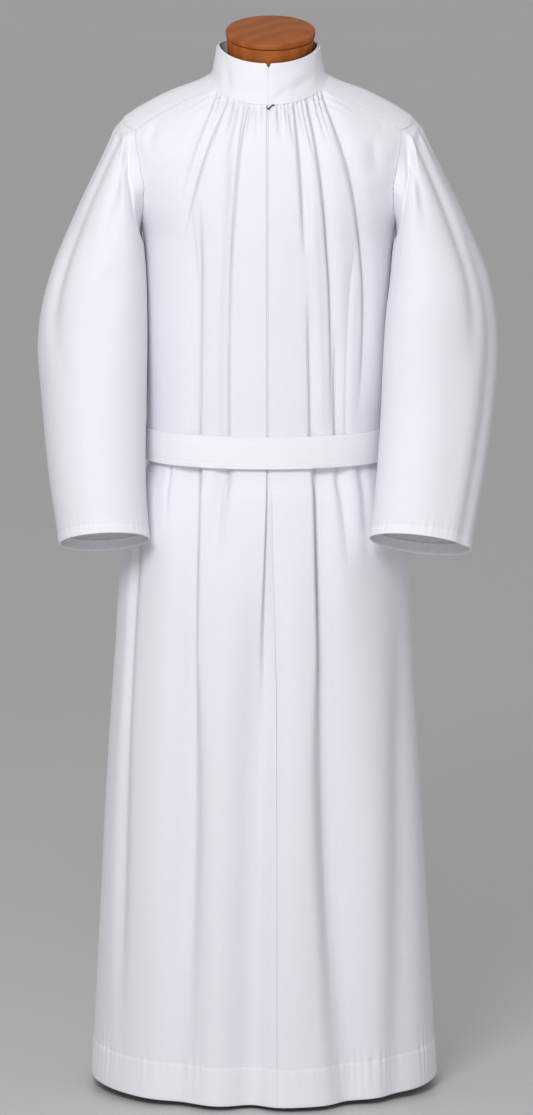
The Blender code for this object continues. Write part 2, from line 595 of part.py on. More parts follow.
def collar_stand_point(angle, h, rise=0.0):
    """The collar's outer surface at an angle and a share h of its height."""
    turn = np.radians(angle)
    sine, cosine = np.sin(turn), np.cos(turn)
    at_front = cosine >= 0
    half_width = along(COLLAR_RINGS, "half_width", h, "h")
    front, back = along(COLLAR_RINGS, "front", h, "h"), along(COLLAR_RINGS, "back", h, "h")
    depth = np.where(at_front, front, back)
    foot = body_base(angle, np.zeros(np.shape(angle)))[..., 2] + COLLAR_GAP
    reach = abs(cosine)
    fall = reach * reach * (1 + RIDGE_ROUNDING) / (reach + RIDGE_ROUNDING)
    rim_end = np.where(at_front, COLLAR_RIM_FRONT, COLLAR_RIM_BACK)
    rim = COLLAR_RIM_SIDE + (rim_end - COLLAR_RIM_SIDE) * fall
    arc = abs(((angle + 180.0) % 360.0) - 180.0) * math.pi / 180.0 * half_width
    notch = COLLAR_NOTCH * np.clip(1 - arc / COLLAR_NOTCH_WIDTH, 0, 1) ** 2
    z = foot + (rim + rise - notch - foot) * h
    return np.stack([half_width * sine, -depth * cosine, z], axis=-1)


def collar_facing_point(angle, h):
    """The facing's outer surface, just inside the collar's wall and a little higher at the rim."""
    around = collar_stand_point(angle + 0.5, h) - collar_stand_point(angle - 0.5, h)
    above = collar_stand_point(angle, np.minimum(h + 0.01, 1.0))
    up = above - collar_stand_point(angle, np.maximum(h - 0.01, 0.0))
    inward = unit(np.cross(up, around))
    inward[..., 2] = 0.0
    level_share = (inward * inward).sum(axis=-1, keepdims=True)
    place = collar_stand_point(angle, h, rise=FACING_RISE) + inward / level_share * (COLLAR_WALL + FACING_GAP)
    place[..., 2] += FACING_FOOT * (1 - h)
    return place


def new_object(name, mesh, material):
    """An object in the alb's collection, with one material."""
    mesh.materials.append(material)
    made = bpy.data.objects.new(name, mesh)
    bpy.data.collections["alb_on_dress_form"].objects.link(made)
    return made


def finish(name, material):
    """A Principled BSDF material from its colour, roughness and metallic value."""
    colour, roughness, metallic = material
    made = bpy.data.materials.new(name)
    made.use_nodes = True
    shader = made.node_tree.nodes["Principled BSDF"]
    shader.inputs["Base Color"].default_value = colour
    shader.inputs["Roughness"].default_value = roughness
    shader.inputs["Metallic"].default_value = metallic
    return made


def net_mesh(name, across, down, shape, closed=False):
    """A mesh of a surface: a flat grid whose points are moved to shape(across, down).

    Args:
        across: the net's values from side to side.
        down: its values from top to bottom.
        closed: joins the first column to the last.
    """
    columns, rows = len(across) - 1, len(down) - 1
    flat = bmesh.new()
    bmesh.ops.create_grid(flat, x_segments=columns, y_segments=rows, size=0.5)
    a, d = np.meshgrid(np.asarray(across, float), np.asarray(down, float), indexing="ij")
    places = shape(a, d)
    for vert in flat.verts:
        i = round((vert.co.x + 0.5) * columns)
        j = round((0.5 - vert.co.y) * rows)
        vert.co = Vector(places[i, j])
    if closed:
        bmesh.ops.remove_doubles(flat, verts=flat.verts, dist=1e-6)
    mesh = bpy.data.meshes.new(name)
    flat.to_mesh(mesh)
    flat.free()
    return mesh


def face_out(mesh, core):
    """Turns the faces of an open surface to point away from the core, a point behind it."""
    outward = sum(face.area * face.normal.dot(face.center - Vector(core)) for face in mesh.polygons)
    if outward < 0:
        mesh.flip_normals()


def cloth(name, material, across, down, shape, wall=CLOTH_WALL, closed=False, core=BODY_CORE):
    """A cloth piece: an open surface given its wall on the inside by Solidify."""
    mesh = net_mesh(name, across, down, shape, closed)
    face_out(mesh, core)
    mesh.shade_smooth()
    made = new_object(name, mesh, material)
    solid = made.modifiers.new("wall", "SOLIDIFY")
    solid.thickness = wall
    solid.offset = -1.0
    solid.use_even_offset = False
    return made


def build_panels(white):
    """The two fronts and the back."""
    columns = spread([(0.0, 0), (0.98, 22), (1.0, 1)])
    strip = [-1.0, -0.65, -TURN_SHARE, -TURN_SHARE / 2]
    cloth("front_panel_left", white, strip + columns, PANEL_LEVELS, front_surface(-1))
    cloth("front_panel_right", white, columns, PANEL_LEVELS, front_surface(1))
    half = spread([(0.0, 0), (0.98, 11), (1.0, 1)])
    back_columns = [-s for s in reversed(half[1:])] + half
    cloth("back_panel", white, back_columns, PANEL_LEVELS, back_surface())


def build_yokes(white):
    """The shoulder yokes, and the felled band along each one's front seam."""
    for side, name in ((-1, "left"), (1, "right")):

        def shape(p, q, side=side):
            angle, v = yoke_net(side, p, q)
            return body_point(angle, v)

        def band_shape(p, q, side=side):
            angle, v = yoke_net(side, p, q)
            return body_point(angle, v, YOKE_BAND_LIFT + YOKE_BAND_WALL)

        lines = [YOKE_MARGIN + (1 - 2 * YOKE_MARGIN) * q for q in YOKE_LINES]
        columns = [level / V_YOKE for level in PANEL_LEVELS if level <= V_YOKE]
        cloth("yoke_" + name, white, columns, lines, shape)
        cloth(
            "yoke_band_" + name, white, np.linspace(0.03, 0.985, 9), YOKE_BAND_LINES, band_shape,
            wall=YOKE_BAND_WALL,
        )


def build_sleeves(white):
    """The two sleeves, open at the armhole and the cuff."""
    places = [0.0, 0.02, 0.07, 0.14, 0.22, 0.30, 0.38, 0.46, 0.54, 0.62, 0.71, 0.80, 0.90, 1.0]
    for side, name, rows, folds in (
        (-1, "sleeve_left", SLEEVE_LEFT, SLEEVE_FOLDS_LEFT),
        (1, "sleeve_right", SLEEVE_RIGHT, SLEEVE_FOLDS_RIGHT),
    ):
        core = (SLEEVE_CORE[0] * side, *SLEEVE_CORE[1:])
        turns = armhole_points(side)[0]
        cloth(name, white, turns, places, sleeve_surface(side, rows, folds), closed=True, core=core)


def build_collar(white):
    """The stand collar and the facing inside it, both open at the centre front."""
    end = math.degrees(COLLAR_END_GAP / 2 / 0.080)
    near = math.degrees(COLLAR_NOTCH_WIDTH / 0.080)
    angles = spread([(end, 0), (near, 2), (360 - near, 36), (360 - end, 2)])
    heights = [0.0, 0.14, 0.5, 1.0]
    cloth("collar_stand", white, angles, heights, collar_stand_point, wall=COLLAR_WALL)
    cloth("collar_facing", white, angles, heights, collar_facing_point, wall=FACING_WALL)


def build_belt(white):
    """The belt, one closed band round the waist."""

    def shape(angle, h):
        v = V_BELT_TOP + (V_BELT_BOTTOM - V_BELT_TOP) * h
        out = body_base(angle, v) + body_normal(angle, v) * (BELT_WALL + BELT_OUT)
        return out

    turns = np.linspace(0.0, 360.0, 49)
    cloth("belt", white, turns, [0.0, 0.5, 1.0], shape, wall=BELT_WALL, closed=True)


def ring_solid(name, material, rings):
    """A closed solid through a stack of rings, each an array of points whose last is its first."""
    net = np.stack(rings, axis=1)
    mesh = net_mesh(name, range(net.shape[0]), range(net.shape[1]), lambda a, d: net, closed=True)
    solid = bmesh.new()
    solid.from_mesh(mesh)
    bmesh.ops.holes_fill(solid, edges=[edge for edge in solid.edges if edge.is_boundary], sides=0)
    bmesh.ops.recalc_face_normals(solid, faces=solid.faces)
    if solid.calc_volume(signed=True) < 0:
        bmesh.ops.reverse_faces(solid, faces=solid.faces)
    solid.to_mesh(mesh)
    solid.free()
    return new_object(name, mesh, material)


def round_ring(turns, centre, radius, tilt=0.0):
    """A round ring about a centre, its plane tilted down towards the front."""
    turn, slope = np.radians(turns), math.radians(tilt)
    ahead = -np.cos(turn) * radius
    x = centre[0] + radius * np.sin(turn)
    return np.stack([x, centre[1] + ahead * math.cos(slope), centre[2] + ahead * math.sin(slope)], axis=-1)


def build_neck(wood):
    """The wooden neck block and its tilted cap, with a groove between them."""
    slope = math.radians(NECK_TILT)
    up = np.array([0.0, -math.sin(slope), math.cos(slope)])
    top = np.array(CAP_CENTRE)
    turns = np.linspace(0.0, 360.0, FORM_SIDES + 1)
    small = CAP_LIP * LIP_BEVEL
    cap = [
        round_ring(turns, top - up * drop, CAP_RADIUS - inset, NECK_TILT)
        for inset, drop in (
            (CAP_LIP, 0.0), (small, small), (0.0, CAP_LIP), (0.0, CAP_THICK - CAP_LIP + small),
            (CAP_LIP - small, CAP_THICK),
        )
    ]
    ring_solid("neck_cap", wood, cap)
    tongue = top - up * (CAP_THICK + REST_GAP)
    shoulder = top - up * (CAP_THICK + CAP_GROOVE)
    block = [
        round_ring(turns, tongue, TONGUE_RADIUS, NECK_TILT),
        round_ring(turns, shoulder, TONGUE_RADIUS, NECK_TILT),
        round_ring(turns, shoulder, NECK_RADIUS - BLOCK_LIP, NECK_TILT),
        round_ring(turns, shoulder - up * BLOCK_LIP, NECK_RADIUS, NECK_TILT),
        round_ring(turns, (0.0, NECK_FOOT_Y, NECK_MIDDLE_Z), NECK_MIDDLE_RADIUS, NECK_MIDDLE_TILT),
        round_ring(turns, (0.0, NECK_FOOT_Y, NECK_FOOT_Z), NECK_FOOT_RADIUS),
    ]
    ring_solid("neck_block", wood, block)


def build_stand(steel, iron):
    """The pole under the torso and the round plate that it stands on."""
    pole_top = FORM_RINGS[0].z - REST_GAP
    for name, material, radius, low, high, sides in (
        ("pole", steel, POLE_RADIUS, BASE_THICK + REST_GAP, pole_top, POLE_SIDES),
        ("base_plate", iron, BASE_RADIUS, 0.0, BASE_THICK, FORM_SIDES),
    ):
        turns = np.linspace(0.0, 360.0, sides + 1)
        rings = [
            round_ring(turns, (0.0, 0.0, high), radius - EDGE_BEVEL),
            round_ring(turns, (0.0, 0.0, high - EDGE_BEVEL), radius),
            round_ring(turns, (0.0, 0.0, low), radius),
        ]
        ring_solid(name, material, rings)


def build_torso(linen):
    """The torso: plain rings below the armpit, and above it the robe's own shape moved in."""
    turns = np.linspace(0.0, 360.0, FORM_SIDES + 1)
    turn = np.radians(turns)
    reach = abs(np.cos(turn))
    rings = []
    for row in FORM_RINGS:
        depth = np.where(np.cos(turn) >= 0, row.front, row.back)
        height = np.full(turn.shape, row.z)
        rings.append(np.stack([row.half_width * np.sin(turn), -depth * np.cos(turn), height], axis=-1))
    for row in SHOULDER_RINGS:
        level = np.full(turn.shape, row.v)
        inset = row.side_in + (row.end_in - row.side_in) * smoothstep(0.10, 0.70, reach)
        ring = body_base(turns, level) - body_normal(turns, level) * inset[:, None]
        ring[:, 0] = np.clip(ring[:, 0], -row.most_x, row.most_x)
        rings.append(ring)
    neck = (0.0, NECK_FOOT_Y, NECK_FOOT_Z - REST_GAP)
    rings.append(round_ring(turns, neck, NECK_FOOT_RADIUS + BLOCK_SEAT))
    ring_solid("form_torso", linen, rings).data.shade_smooth()


def build_wire(name, metal, points):
    """A bent wire that lies on the fronts, with closed ends."""
    curve = bpy.data.curves.new(name, "CURVE")
    curve.dimensions = "3D"
    curve.bevel_depth = WIRE_RADIUS
    curve.bevel_resolution = 2
    curve.use_fill_caps = True
    line = curve.splines.new("POLY")
    line.points.add(len(points) - 1)
    for point, place in zip(line.points, points):
        v = np.array(place.v)
        spot = body_base(angle_at(place.x, v), v) + body_normal(angle_at(place.x, v), v) * place.lift
        point.co = (*spot, 1.0)
    curve.materials.append(metal)
    made = bpy.data.objects.new(name, curve)
    bpy.data.collections["alb_on_dress_form"].objects.link(made)


def main():
    """Clears the scene and builds every piece."""
    for old in list(bpy.data.objects):
        bpy.data.objects.remove(old)
    parts = bpy.data.collections.new("alb_on_dress_form")
    bpy.context.scene.collection.children.link(parts)
    white = finish("alb_cloth", (WHITE, 0.85, 0.0))
    linen = finish("form_linen", (LINEN, 0.9, 0.0))
    wood = finish("neck_wood", (WOOD, 0.4, 0.0))
    steel = finish("pole_steel", (STEEL, 0.3, 1.0))
    iron = finish("base_iron", (IRON, 0.5, 0.6))
    hook_metal = finish("hook_metal", (HOOK_METAL, 0.35, 0.9))
    build_panels(white)
    build_yokes(white)
    build_sleeves(white)
    build_collar(white)
    build_belt(white)
    build_wire("collar_hook", hook_metal, HOOK_WIRE)
    build_wire("collar_bar", hook_metal, BAR_WIRE)
    build_torso(linen)
    build_neck(wood)
    build_stand(steel, iron)


if __name__ == "__main__":
    main()
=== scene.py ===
"""A white alb on a limbless dress form, finished for a studio picture.

Metres, +Z up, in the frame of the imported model. The front faces -Y, and left and right are the viewer's.
Every cloth piece is a flat sheet, a grid of its cut, whose points are laid on the robe's surface.
"""

import logging
import math
from dataclasses import dataclass, field
from enum import Enum
from typing import Callable, NamedTuple

import bmesh
import bpy
import numpy as np
from mathutils import Matrix, Vector


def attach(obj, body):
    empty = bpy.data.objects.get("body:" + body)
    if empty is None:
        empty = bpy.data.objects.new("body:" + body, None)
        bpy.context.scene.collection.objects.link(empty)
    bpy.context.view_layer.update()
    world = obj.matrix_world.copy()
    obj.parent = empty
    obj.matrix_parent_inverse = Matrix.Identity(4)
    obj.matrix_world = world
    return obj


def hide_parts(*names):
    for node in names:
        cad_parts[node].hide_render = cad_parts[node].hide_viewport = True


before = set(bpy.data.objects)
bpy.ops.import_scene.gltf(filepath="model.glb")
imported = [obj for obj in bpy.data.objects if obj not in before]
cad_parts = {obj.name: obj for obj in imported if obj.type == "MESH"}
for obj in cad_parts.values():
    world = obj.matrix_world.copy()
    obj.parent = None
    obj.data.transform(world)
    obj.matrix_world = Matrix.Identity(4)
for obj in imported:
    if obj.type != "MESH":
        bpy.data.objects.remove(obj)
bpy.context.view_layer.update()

LOG = logging.getLogger("alb")
Array = np.ndarray
Surface = Callable[[Array, Array], Array]

ROOT = "root"
CLOTH_SLOT = "cloth"
METAL_SLOT = "hook_metal"
COVER_SLOT = "form_cover"
WOOD_SLOT = "neck_wood"
POLE_SLOT = "pole_steel"
BASE_SLOT = "base_iron"

CLOTH_WALL = 0.0009
TURN_RADIUS = 0.00095
HEM_DEPTH = 0.058
HEM_STITCH = 0.0575
CUFF_DEPTH = 0.0155
CUFF_STITCH = 0.0148
SEAM_GAP = 0.0003

# Levels along the cloth, measured down from the neck seam
V_NECK = 0.0
V_YOKE = 0.120
V_SHOULDER_TIP = 0.130
V_ARMPIT = 0.265
V_BELT_TOP = 0.560
V_BELT_BOTTOM = 0.608
V_HEM = 1.560
V_HEM_TURN = V_HEM - TURN_RADIUS


class Side(Enum):
    """The viewer's left or right half of the robe, as the sign of x."""

    LEFT = -1
    RIGHT = 1

    @property
    def word(self) -> str:
        """The side's name in a piece's name."""
        return self.name.lower()


class Face(Enum):
    """The front or the back of the robe."""

    FRONT = 1
    BACK = -1


class Ring(NamedTuple):
    """A closed section of the robe: its heights at the front, side and back, and its half sizes."""

    v: float
    z_front: float
    z_side: float
    z_back: float
    half_width: float
    front: float
    back: float
    shift: float


BODY_RINGS = (
    Ring(V_NECK, 1.495, 1.528, 1.546, 0.088, 0.088, 0.072, 0.000),
    Ring(0.020, 1.481, 1.520, 1.520, 0.110, 0.097, 0.083, 0.000),
    Ring(0.050, 1.461, 1.508, 1.508, 0.143, 0.106, 0.094, 0.000),
    Ring(0.080, 1.440, 1.4925, 1.493, 0.175, 0.113, 0.103, 0.000),
    Ring(0.105, 1.421, 1.478, 1.477, 0.200, 0.118, 0.110, 0.000),
    Ring(V_SHOULDER_TIP, 1.400, 1.463, 1.458, 0.217, 0.121, 0.115, 0.000),
    Ring(0.165, 1.372, 1.424, 1.424, 0.222, 0.124, 0.119, 0.000),
    Ring(0.205, 1.338, 1.372, 1.380, 0.210, 0.127, 0.121, 0.000),
    Ring(V_ARMPIT, 1.283, 1.297, 1.305, 0.187, 0.128, 0.121, 0.000),
    Ring(0.330, 1.233, 1.236, 1.240, 0.184, 0.128, 0.118, 0.000),
    Ring(0.430, 1.134, 1.134, 1.136, 0.183, 0.126, 0.112, 0.000),
    Ring(0.495, 1.070, 1.070, 1.071, 0.182, 0.126, 0.111, 0.000),
    Ring(V_BELT_TOP, 1.005, 1.005, 1.005, 0.180, 0.125, 0.112, -0.002),
    Ring(V_BELT_BOTTOM, 0.957, 0.957, 0.957, 0.180, 0.125, 0.112, -0.003),
    Ring(0.640, 0.925, 0.925, 0.925, 0.189, 0.136, 0.124, -0.004),
    Ring(0.700, 0.865, 0.865, 0.865, 0.204, 0.150, 0.141, -0.005),
    Ring(0.765, 0.800, 0.800, 0.800, 0.215, 0.161, 0.154, -0.006),
    Ring(0.890, 0.677, 0.677, 0.677, 0.223, 0.172, 0.168, -0.007),
    Ring(1.080, 0.487, 0.490, 0.489, 0.235, 0.184, 0.182, -0.008),
    Ring(1.330, 0.238, 0.243, 0.241, 0.249, 0.196, 0.196, -0.007),
    Ring(V_HEM, 0.0068, 0.0155, 0.0115, 0.2615, 0.206, 0.208, -0.0065),
)


class Fold(NamedTuple):
    """A valley that runs down the cloth through three points (x, v). A negative depth is a ridge."""

    face: Face
    v_top: float
    v_mid: float
    v_end: float
    x_top: float
    x_mid: float
    x_end: float
    depth: float
    left: float
    right: float
    fade_in: float
    fade_out: float


F, B = Face.FRONT, Face.BACK
LARGE_FOLDS = (
    Fold(F, 0.000, 0.080, 0.210, -0.076, -0.102, -0.130, 0.0060, 0.009, 0.005, 0.008, 0.120),
    Fold(F, 0.000, 0.110, 0.270, -0.060, -0.094, -0.128, 0.0085, 0.012, 0.004, 0.008, 0.130),
    Fold(F, 0.000, 0.200, 0.590, -0.037, -0.053, -0.061, 0.0085, 0.012, 0.004, 0.008, 0.030),
    Fold(F, 0.000, 0.090, 0.260, -0.030, -0.043, -0.050, 0.0055, 0.009, 0.003, 0.008, 0.140),
    Fold(F, 0.000, 0.040, 0.085, -0.017, -0.017, -0.015, 0.0035, 0.004, 0.004, 0.006, 0.050),
    Fold(F, 0.180, 0.400, 0.590, -0.100, -0.104, -0.107, 0.0070, 0.016, 0.005, 0.150, 0.020),
    Fold(F, 0.000, 0.040, 0.085, 0.020, 0.020, 0.019, 0.0035, 0.004, 0.004, 0.006, 0.050),
    Fold(F, 0.000, 0.120, 0.300, 0.038, 0.047, 0.054, 0.0080, 0.004, 0.010, 0.008, 0.120),
    Fold(F, 0.000, 0.200, 0.590, 0.058, 0.083, 0.092, 0.0085, 0.004, 0.012, 0.008, 0.220),
    Fold(F, 0.000, 0.160, 0.560, 0.078, 0.122, 0.128, 0.0065, 0.006, 0.014, 0.010, 0.200),
    Fold(F, 0.330, 0.460, 0.590, 0.058, 0.062, 0.064, 0.0065, 0.004, 0.010, 0.120, 0.010),
    Fold(F, 0.380, 0.480, 0.590, 0.102, 0.101, 0.101, 0.0060, 0.004, 0.009, 0.120, 0.010),
    Fold(F, 0.100, 0.130, 0.175, 0.150, 0.156, 0.160, 0.0030, 0.012, 0.010, 0.030, 0.040),
    Fold(F, 0.060, 0.100, 0.150, -0.160, -0.172, -0.177, 0.0045, 0.010, 0.010, 0.020, 0.060),
    Fold(B, 0.000, 0.200, 0.590, -0.045, -0.085, -0.090, 0.0050, 0.010, 0.010, 0.012, 0.100),
    Fold(B, 0.000, 0.150, 0.300, -0.018, -0.032, -0.036, 0.0040, 0.008, 0.008, 0.012, 0.150),
    Fold(B, 0.000, 0.200, 0.590, 0.012, 0.018, 0.020, 0.0050, 0.009, 0.009, 0.012, 0.100),
    Fold(B, 0.000, 0.200, 0.590, 0.040, 0.078, 0.086, 0.0050, 0.010, 0.010, 0.012, 0.120),
    Fold(B, 0.300, 0.450, 0.590, -0.130, -0.128, -0.126, 0.0040, 0.014, 0.012, 0.150, 0.030),
    Fold(F, 0.660, 1.000, 1.540, -0.192, -0.213, -0.222, 0.0080, 0.010, 0.012, 0.100, 0.350),
    Fold(F, 0.600, 0.900, 1.560, -0.107, -0.114, -0.128, 0.0185, 0.030, 0.005, 0.010, 0.450),
    Fold(F, 0.700, 1.200, 1.700, -0.128, -0.130, -0.138, 0.0140, 0.034, 0.040, 0.600, 0.010),
    Fold(F, 0.600, 0.650, 0.780, -0.063, -0.070, -0.078, 0.0095, 0.014, 0.010, 0.008, 0.130),
    Fold(F, 0.640, 1.100, 1.700, -0.006, -0.018, -0.030, 0.0270, 0.034, 0.030, 0.400, 0.010),
    Fold(F, 0.600, 0.900, 1.600, 0.072, 0.080, 0.108, 0.0180, 0.005, 0.026, 0.010, 0.450),
    Fold(F, 0.700, 1.200, 1.700, 0.096, 0.112, 0.132, 0.0190, 0.030, 0.040, 0.500, 0.010),
    Fold(F, 0.600, 0.650, 0.780, 0.107, 0.112, 0.120, 0.0080, 0.010, 0.013, 0.008, 0.130),
    Fold(F, 0.700, 1.100, 1.700, 0.190, 0.200, 0.190, 0.0095, 0.030, 0.032, 0.400, 0.010),
    Fold(B, 0.600, 1.000, 1.700, -0.140, -0.170, -0.190, 0.0150, 0.028, 0.034, 0.300, 0.010),
    Fold(B, 0.590, 1.000, 1.700, -0.066, -0.080, -0.092, 0.0180, 0.022, 0.036, 0.300, 0.010),
    Fold(B, 0.590, 1.000, 1.700, 0.012, 0.010, 0.014, 0.0200, 0.030, 0.034, 0.400, 0.010),
    Fold(B, 0.590, 1.000, 1.700, 0.084, 0.096, 0.112, 0.0180, 0.034, 0.024, 0.300, 0.010),
    Fold(B, 0.600, 1.000, 1.700, 0.150, 0.180, 0.200, 0.0140, 0.030, 0.026, 0.300, 0.010),
)
FINE_FOLDS = (
    Fold(F, 0.100, 0.300, 0.590, -0.0560, -0.0690, -0.0790, -0.0016, 0.007, 0.007, 0.100, 0.120),
    Fold(F, 0.100, 0.300, 0.590, 0.0600, 0.0700, 0.0790, -0.0016, 0.007, 0.007, 0.100, 0.120),
    Fold(F, 0.180, 0.300, 0.590, -0.1150, -0.1080, -0.1060, 0.0030, 0.006, 0.014, 0.120, 0.030),
    Fold(F, 0.240, 0.380, 0.590, 0.1300, 0.1190, 0.1160, 0.0030, 0.014, 0.006, 0.120, 0.030),
    Fold(F, 0.060, 0.075, 0.110, 0.1500, 0.1600, 0.1680, 0.0024, 0.005, 0.006, 0.015, 0.030),
    Fold(F, 0.601, 0.640, 0.700, -0.1510, -0.1520, -0.1530, 0.0035, 0.004, 0.004, 0.006, 0.070),
    Fold(F, 0.601, 0.660, 0.760, 0.1400, 0.1440, 0.1480, 0.0040, 0.009, 0.009, 0.006, 0.100),
    Fold(F, 0.600, 0.625, 0.672, -0.1080, -0.1085, -0.1090, 0.0070, 0.0060, 0.0030, 0.003, 0.050),
    Fold(F, 0.600, 0.625, 0.662, -0.0620, -0.0630, -0.0645, 0.0075, 0.0075, 0.0040, 0.003, 0.045),
    Fold(F, 0.600, 0.625, 0.672, 0.0715, 0.0720, 0.0730, 0.0070, 0.0030, 0.0060, 0.003, 0.050),
    Fold(F, 0.600, 0.625, 0.662, 0.1070, 0.1080, 0.1095, 0.0065, 0.0040, 0.0060, 0.003, 0.045),
    Fold(B, 0.000, 0.080, 0.180, -0.0300, -0.0480, -0.0600, 0.0016, 0.004, 0.004, 0.006, 0.090),
    Fold(B, 0.000, 0.080, 0.200, 0.0270, 0.0430, 0.0560, 0.0016, 0.004, 0.004, 0.006, 0.090),
    Fold(B, 0.000, 0.060, 0.140, 0.0560, 0.0800, 0.1020, 0.0016, 0.004, 0.004, 0.006, 0.080),
    Fold(B, 0.000, 0.060, 0.140, -0.0590, -0.0820, -0.1040, 0.0016, 0.004, 0.004, 0.006, 0.080),
)


class Tuck(NamedTuple):
    """A small gather at the front of the neck: its place on the seam, its length and its depth."""

    x: float
    length: float
    depth: float

    def fold(self) -> Fold:
        """The valley that it makes, which fans out a little on its way down."""
        fan, narrow, wide = 3.2, 0.0026, 0.0044
        left, right = (wide, narrow) if self.x < 0 else (narrow, wide)
        end = self.x * (1 + fan * self.length)
        return Fold(Face.FRONT, 0.0, self.length / 2, self.length, self.x, (self.x + end) / 2, end,
                    1.6 * self.depth, left, right, 0.004, self.length * 0.8)


NECK_TUCKS = (
    Tuck(-0.0710, 0.070, 0.0022),
    Tuck(-0.0640, 0.110, 0.0024),
    Tuck(-0.0500, 0.100, 0.0026),
    Tuck(-0.0430, 0.140, 0.0026),
    Tuck(-0.0280, 0.090, 0.0024),
    Tuck(-0.0225, 0.060, 0.0016),
    Tuck(-0.0100, 0.070, 0.0020),
    Tuck(0.0130, 0.080, 0.0022),
    Tuck(0.0240, 0.070, 0.0020),
    Tuck(0.0290, 0.100, 0.0026),
    Tuck(0.0430, 0.090, 0.0026),
    Tuck(0.0490, 0.140, 0.0026),
    Tuck(0.0550, 0.080, 0.0020),
    Tuck(0.0670, 0.110, 0.0026),
    Tuck(0.0725, 0.100, 0.0022),
)


class Opening(NamedTuple):
    """The centre front at a level: the left and the right panel's edge, and how far both tuck in."""

    v: float
    left_edge: float
    right_edge: float
    tuck: float


OPENING = (
    Opening(V_NECK, -0.0040, 0.0000, 0.0000),
    Opening(V_BELT_TOP, -0.0040, 0.0000, 0.0000),
    Opening(V_BELT_BOTTOM, -0.0042, 0.0005, 0.0005),
    Opening(0.640, -0.0044, 0.0045, 0.0030),
    Opening(0.740, -0.0075, 0.0075, 0.0065),
    Opening(0.860, -0.0135, 0.0115, 0.0070),
    Opening(0.990, -0.0175, 0.0133, 0.0060),
    Opening(1.170, -0.0300, 0.0133, 0.0030),
    Opening(V_HEM, -0.0320, 0.0133, 0.0010),
)


class Seam(NamedTuple):
    """A point of a seam on the body: an angle from the centre front, at a level down the cloth."""

    v: float
    angle: float


FORM_ROOM = ((0.000, 0.0060), (0.020, 0.0082), (0.100, 0.0088), (0.140, 0.0105), (0.270, 0.0122), (0.380, 0.0132),
             (0.500, 0.0190), (0.600, 0.0165), (0.610, 0.0140), (0.640, 0.0175), (0.700, 0.0240), (0.800, 0.0600))
NECK_YOKE_ANGLE = 64.0
YOKE_SEAM = (Seam(0.000, NECK_YOKE_ANGLE), Seam(0.035, 64.5), Seam(0.075, 65.8), Seam(V_YOKE, 67.0))
ARMHOLE = (
    Seam(V_YOKE, 67.0),
    Seam(0.140, 62.5),
    Seam(0.165, 58.5),
    Seam(0.185, 58.3),
    Seam(0.206, 61.5),
    Seam(0.232, 69.5),
    Seam(V_ARMPIT, 90.0),
)


class SleeveRing(NamedTuple):
    """A section of a sleeve, by its outer and inner points seen from the front."""

    s: float
    x_outer: float
    z_outer: float
    y_outer: float
    x_inner: float
    z_inner: float
    y_inner: float
    half_depth: float
    pitch: float


class SleeveFold(NamedTuple):
    """A soft valley at an angle round a sleeve, from one place along it to another."""

    s_top: float
    s_end: float
    angle_top: float
    angle_end: float
    depth: float
    width: float


SLEEVE_RINGS = {
    Side.LEFT: (
        SleeveRing(0.30, 0.250, 1.404, -0.004, 0.184, 1.272, -0.030, 0.074, 2.0),
        SleeveRing(0.42, 0.290, 1.320, -0.006, 0.181, 1.228, -0.036, 0.081, 4.0),
        SleeveRing(0.54, 0.327, 1.228, -0.010, 0.180, 1.180, -0.042, 0.087, 7.0),
        SleeveRing(0.66, 0.3435, 1.140, -0.016, 0.180, 1.120, -0.050, 0.088, 10.0),
        SleeveRing(0.78, 0.337, 1.040, -0.040, 0.182, 1.030, -0.062, 0.084, 14.0),
        SleeveRing(0.90, 0.325, 0.930, -0.078, 0.182, 0.932, -0.088, 0.076, 18.0),
        SleeveRing(1.00, 0.310, 0.843, -0.112, 0.176, 0.850, -0.112, 0.068, 20.0),
    ),
    Side.RIGHT: (
        SleeveRing(0.30, 0.251, 1.404, -0.004, 0.184, 1.272, -0.034, 0.074, 2.0),
        SleeveRing(0.42, 0.292, 1.320, -0.008, 0.180, 1.228, -0.048, 0.082, 4.0),
        SleeveRing(0.54, 0.329, 1.228, -0.018, 0.174, 1.180, -0.065, 0.086, 7.0),
        SleeveRing(0.66, 0.342, 1.140, -0.028, 0.170, 1.120, -0.075, 0.086, 11.0),
        SleeveRing(0.78, 0.335, 1.040, -0.062, 0.166, 1.030, -0.088, 0.080, 15.0),
        SleeveRing(0.90, 0.317, 0.930, -0.105, 0.159, 0.938, -0.120, 0.071, 19.0),
        SleeveRing(1.00, 0.299, 0.839, -0.146, 0.149, 0.857, -0.146, 0.065, 21.0),
    ),
}
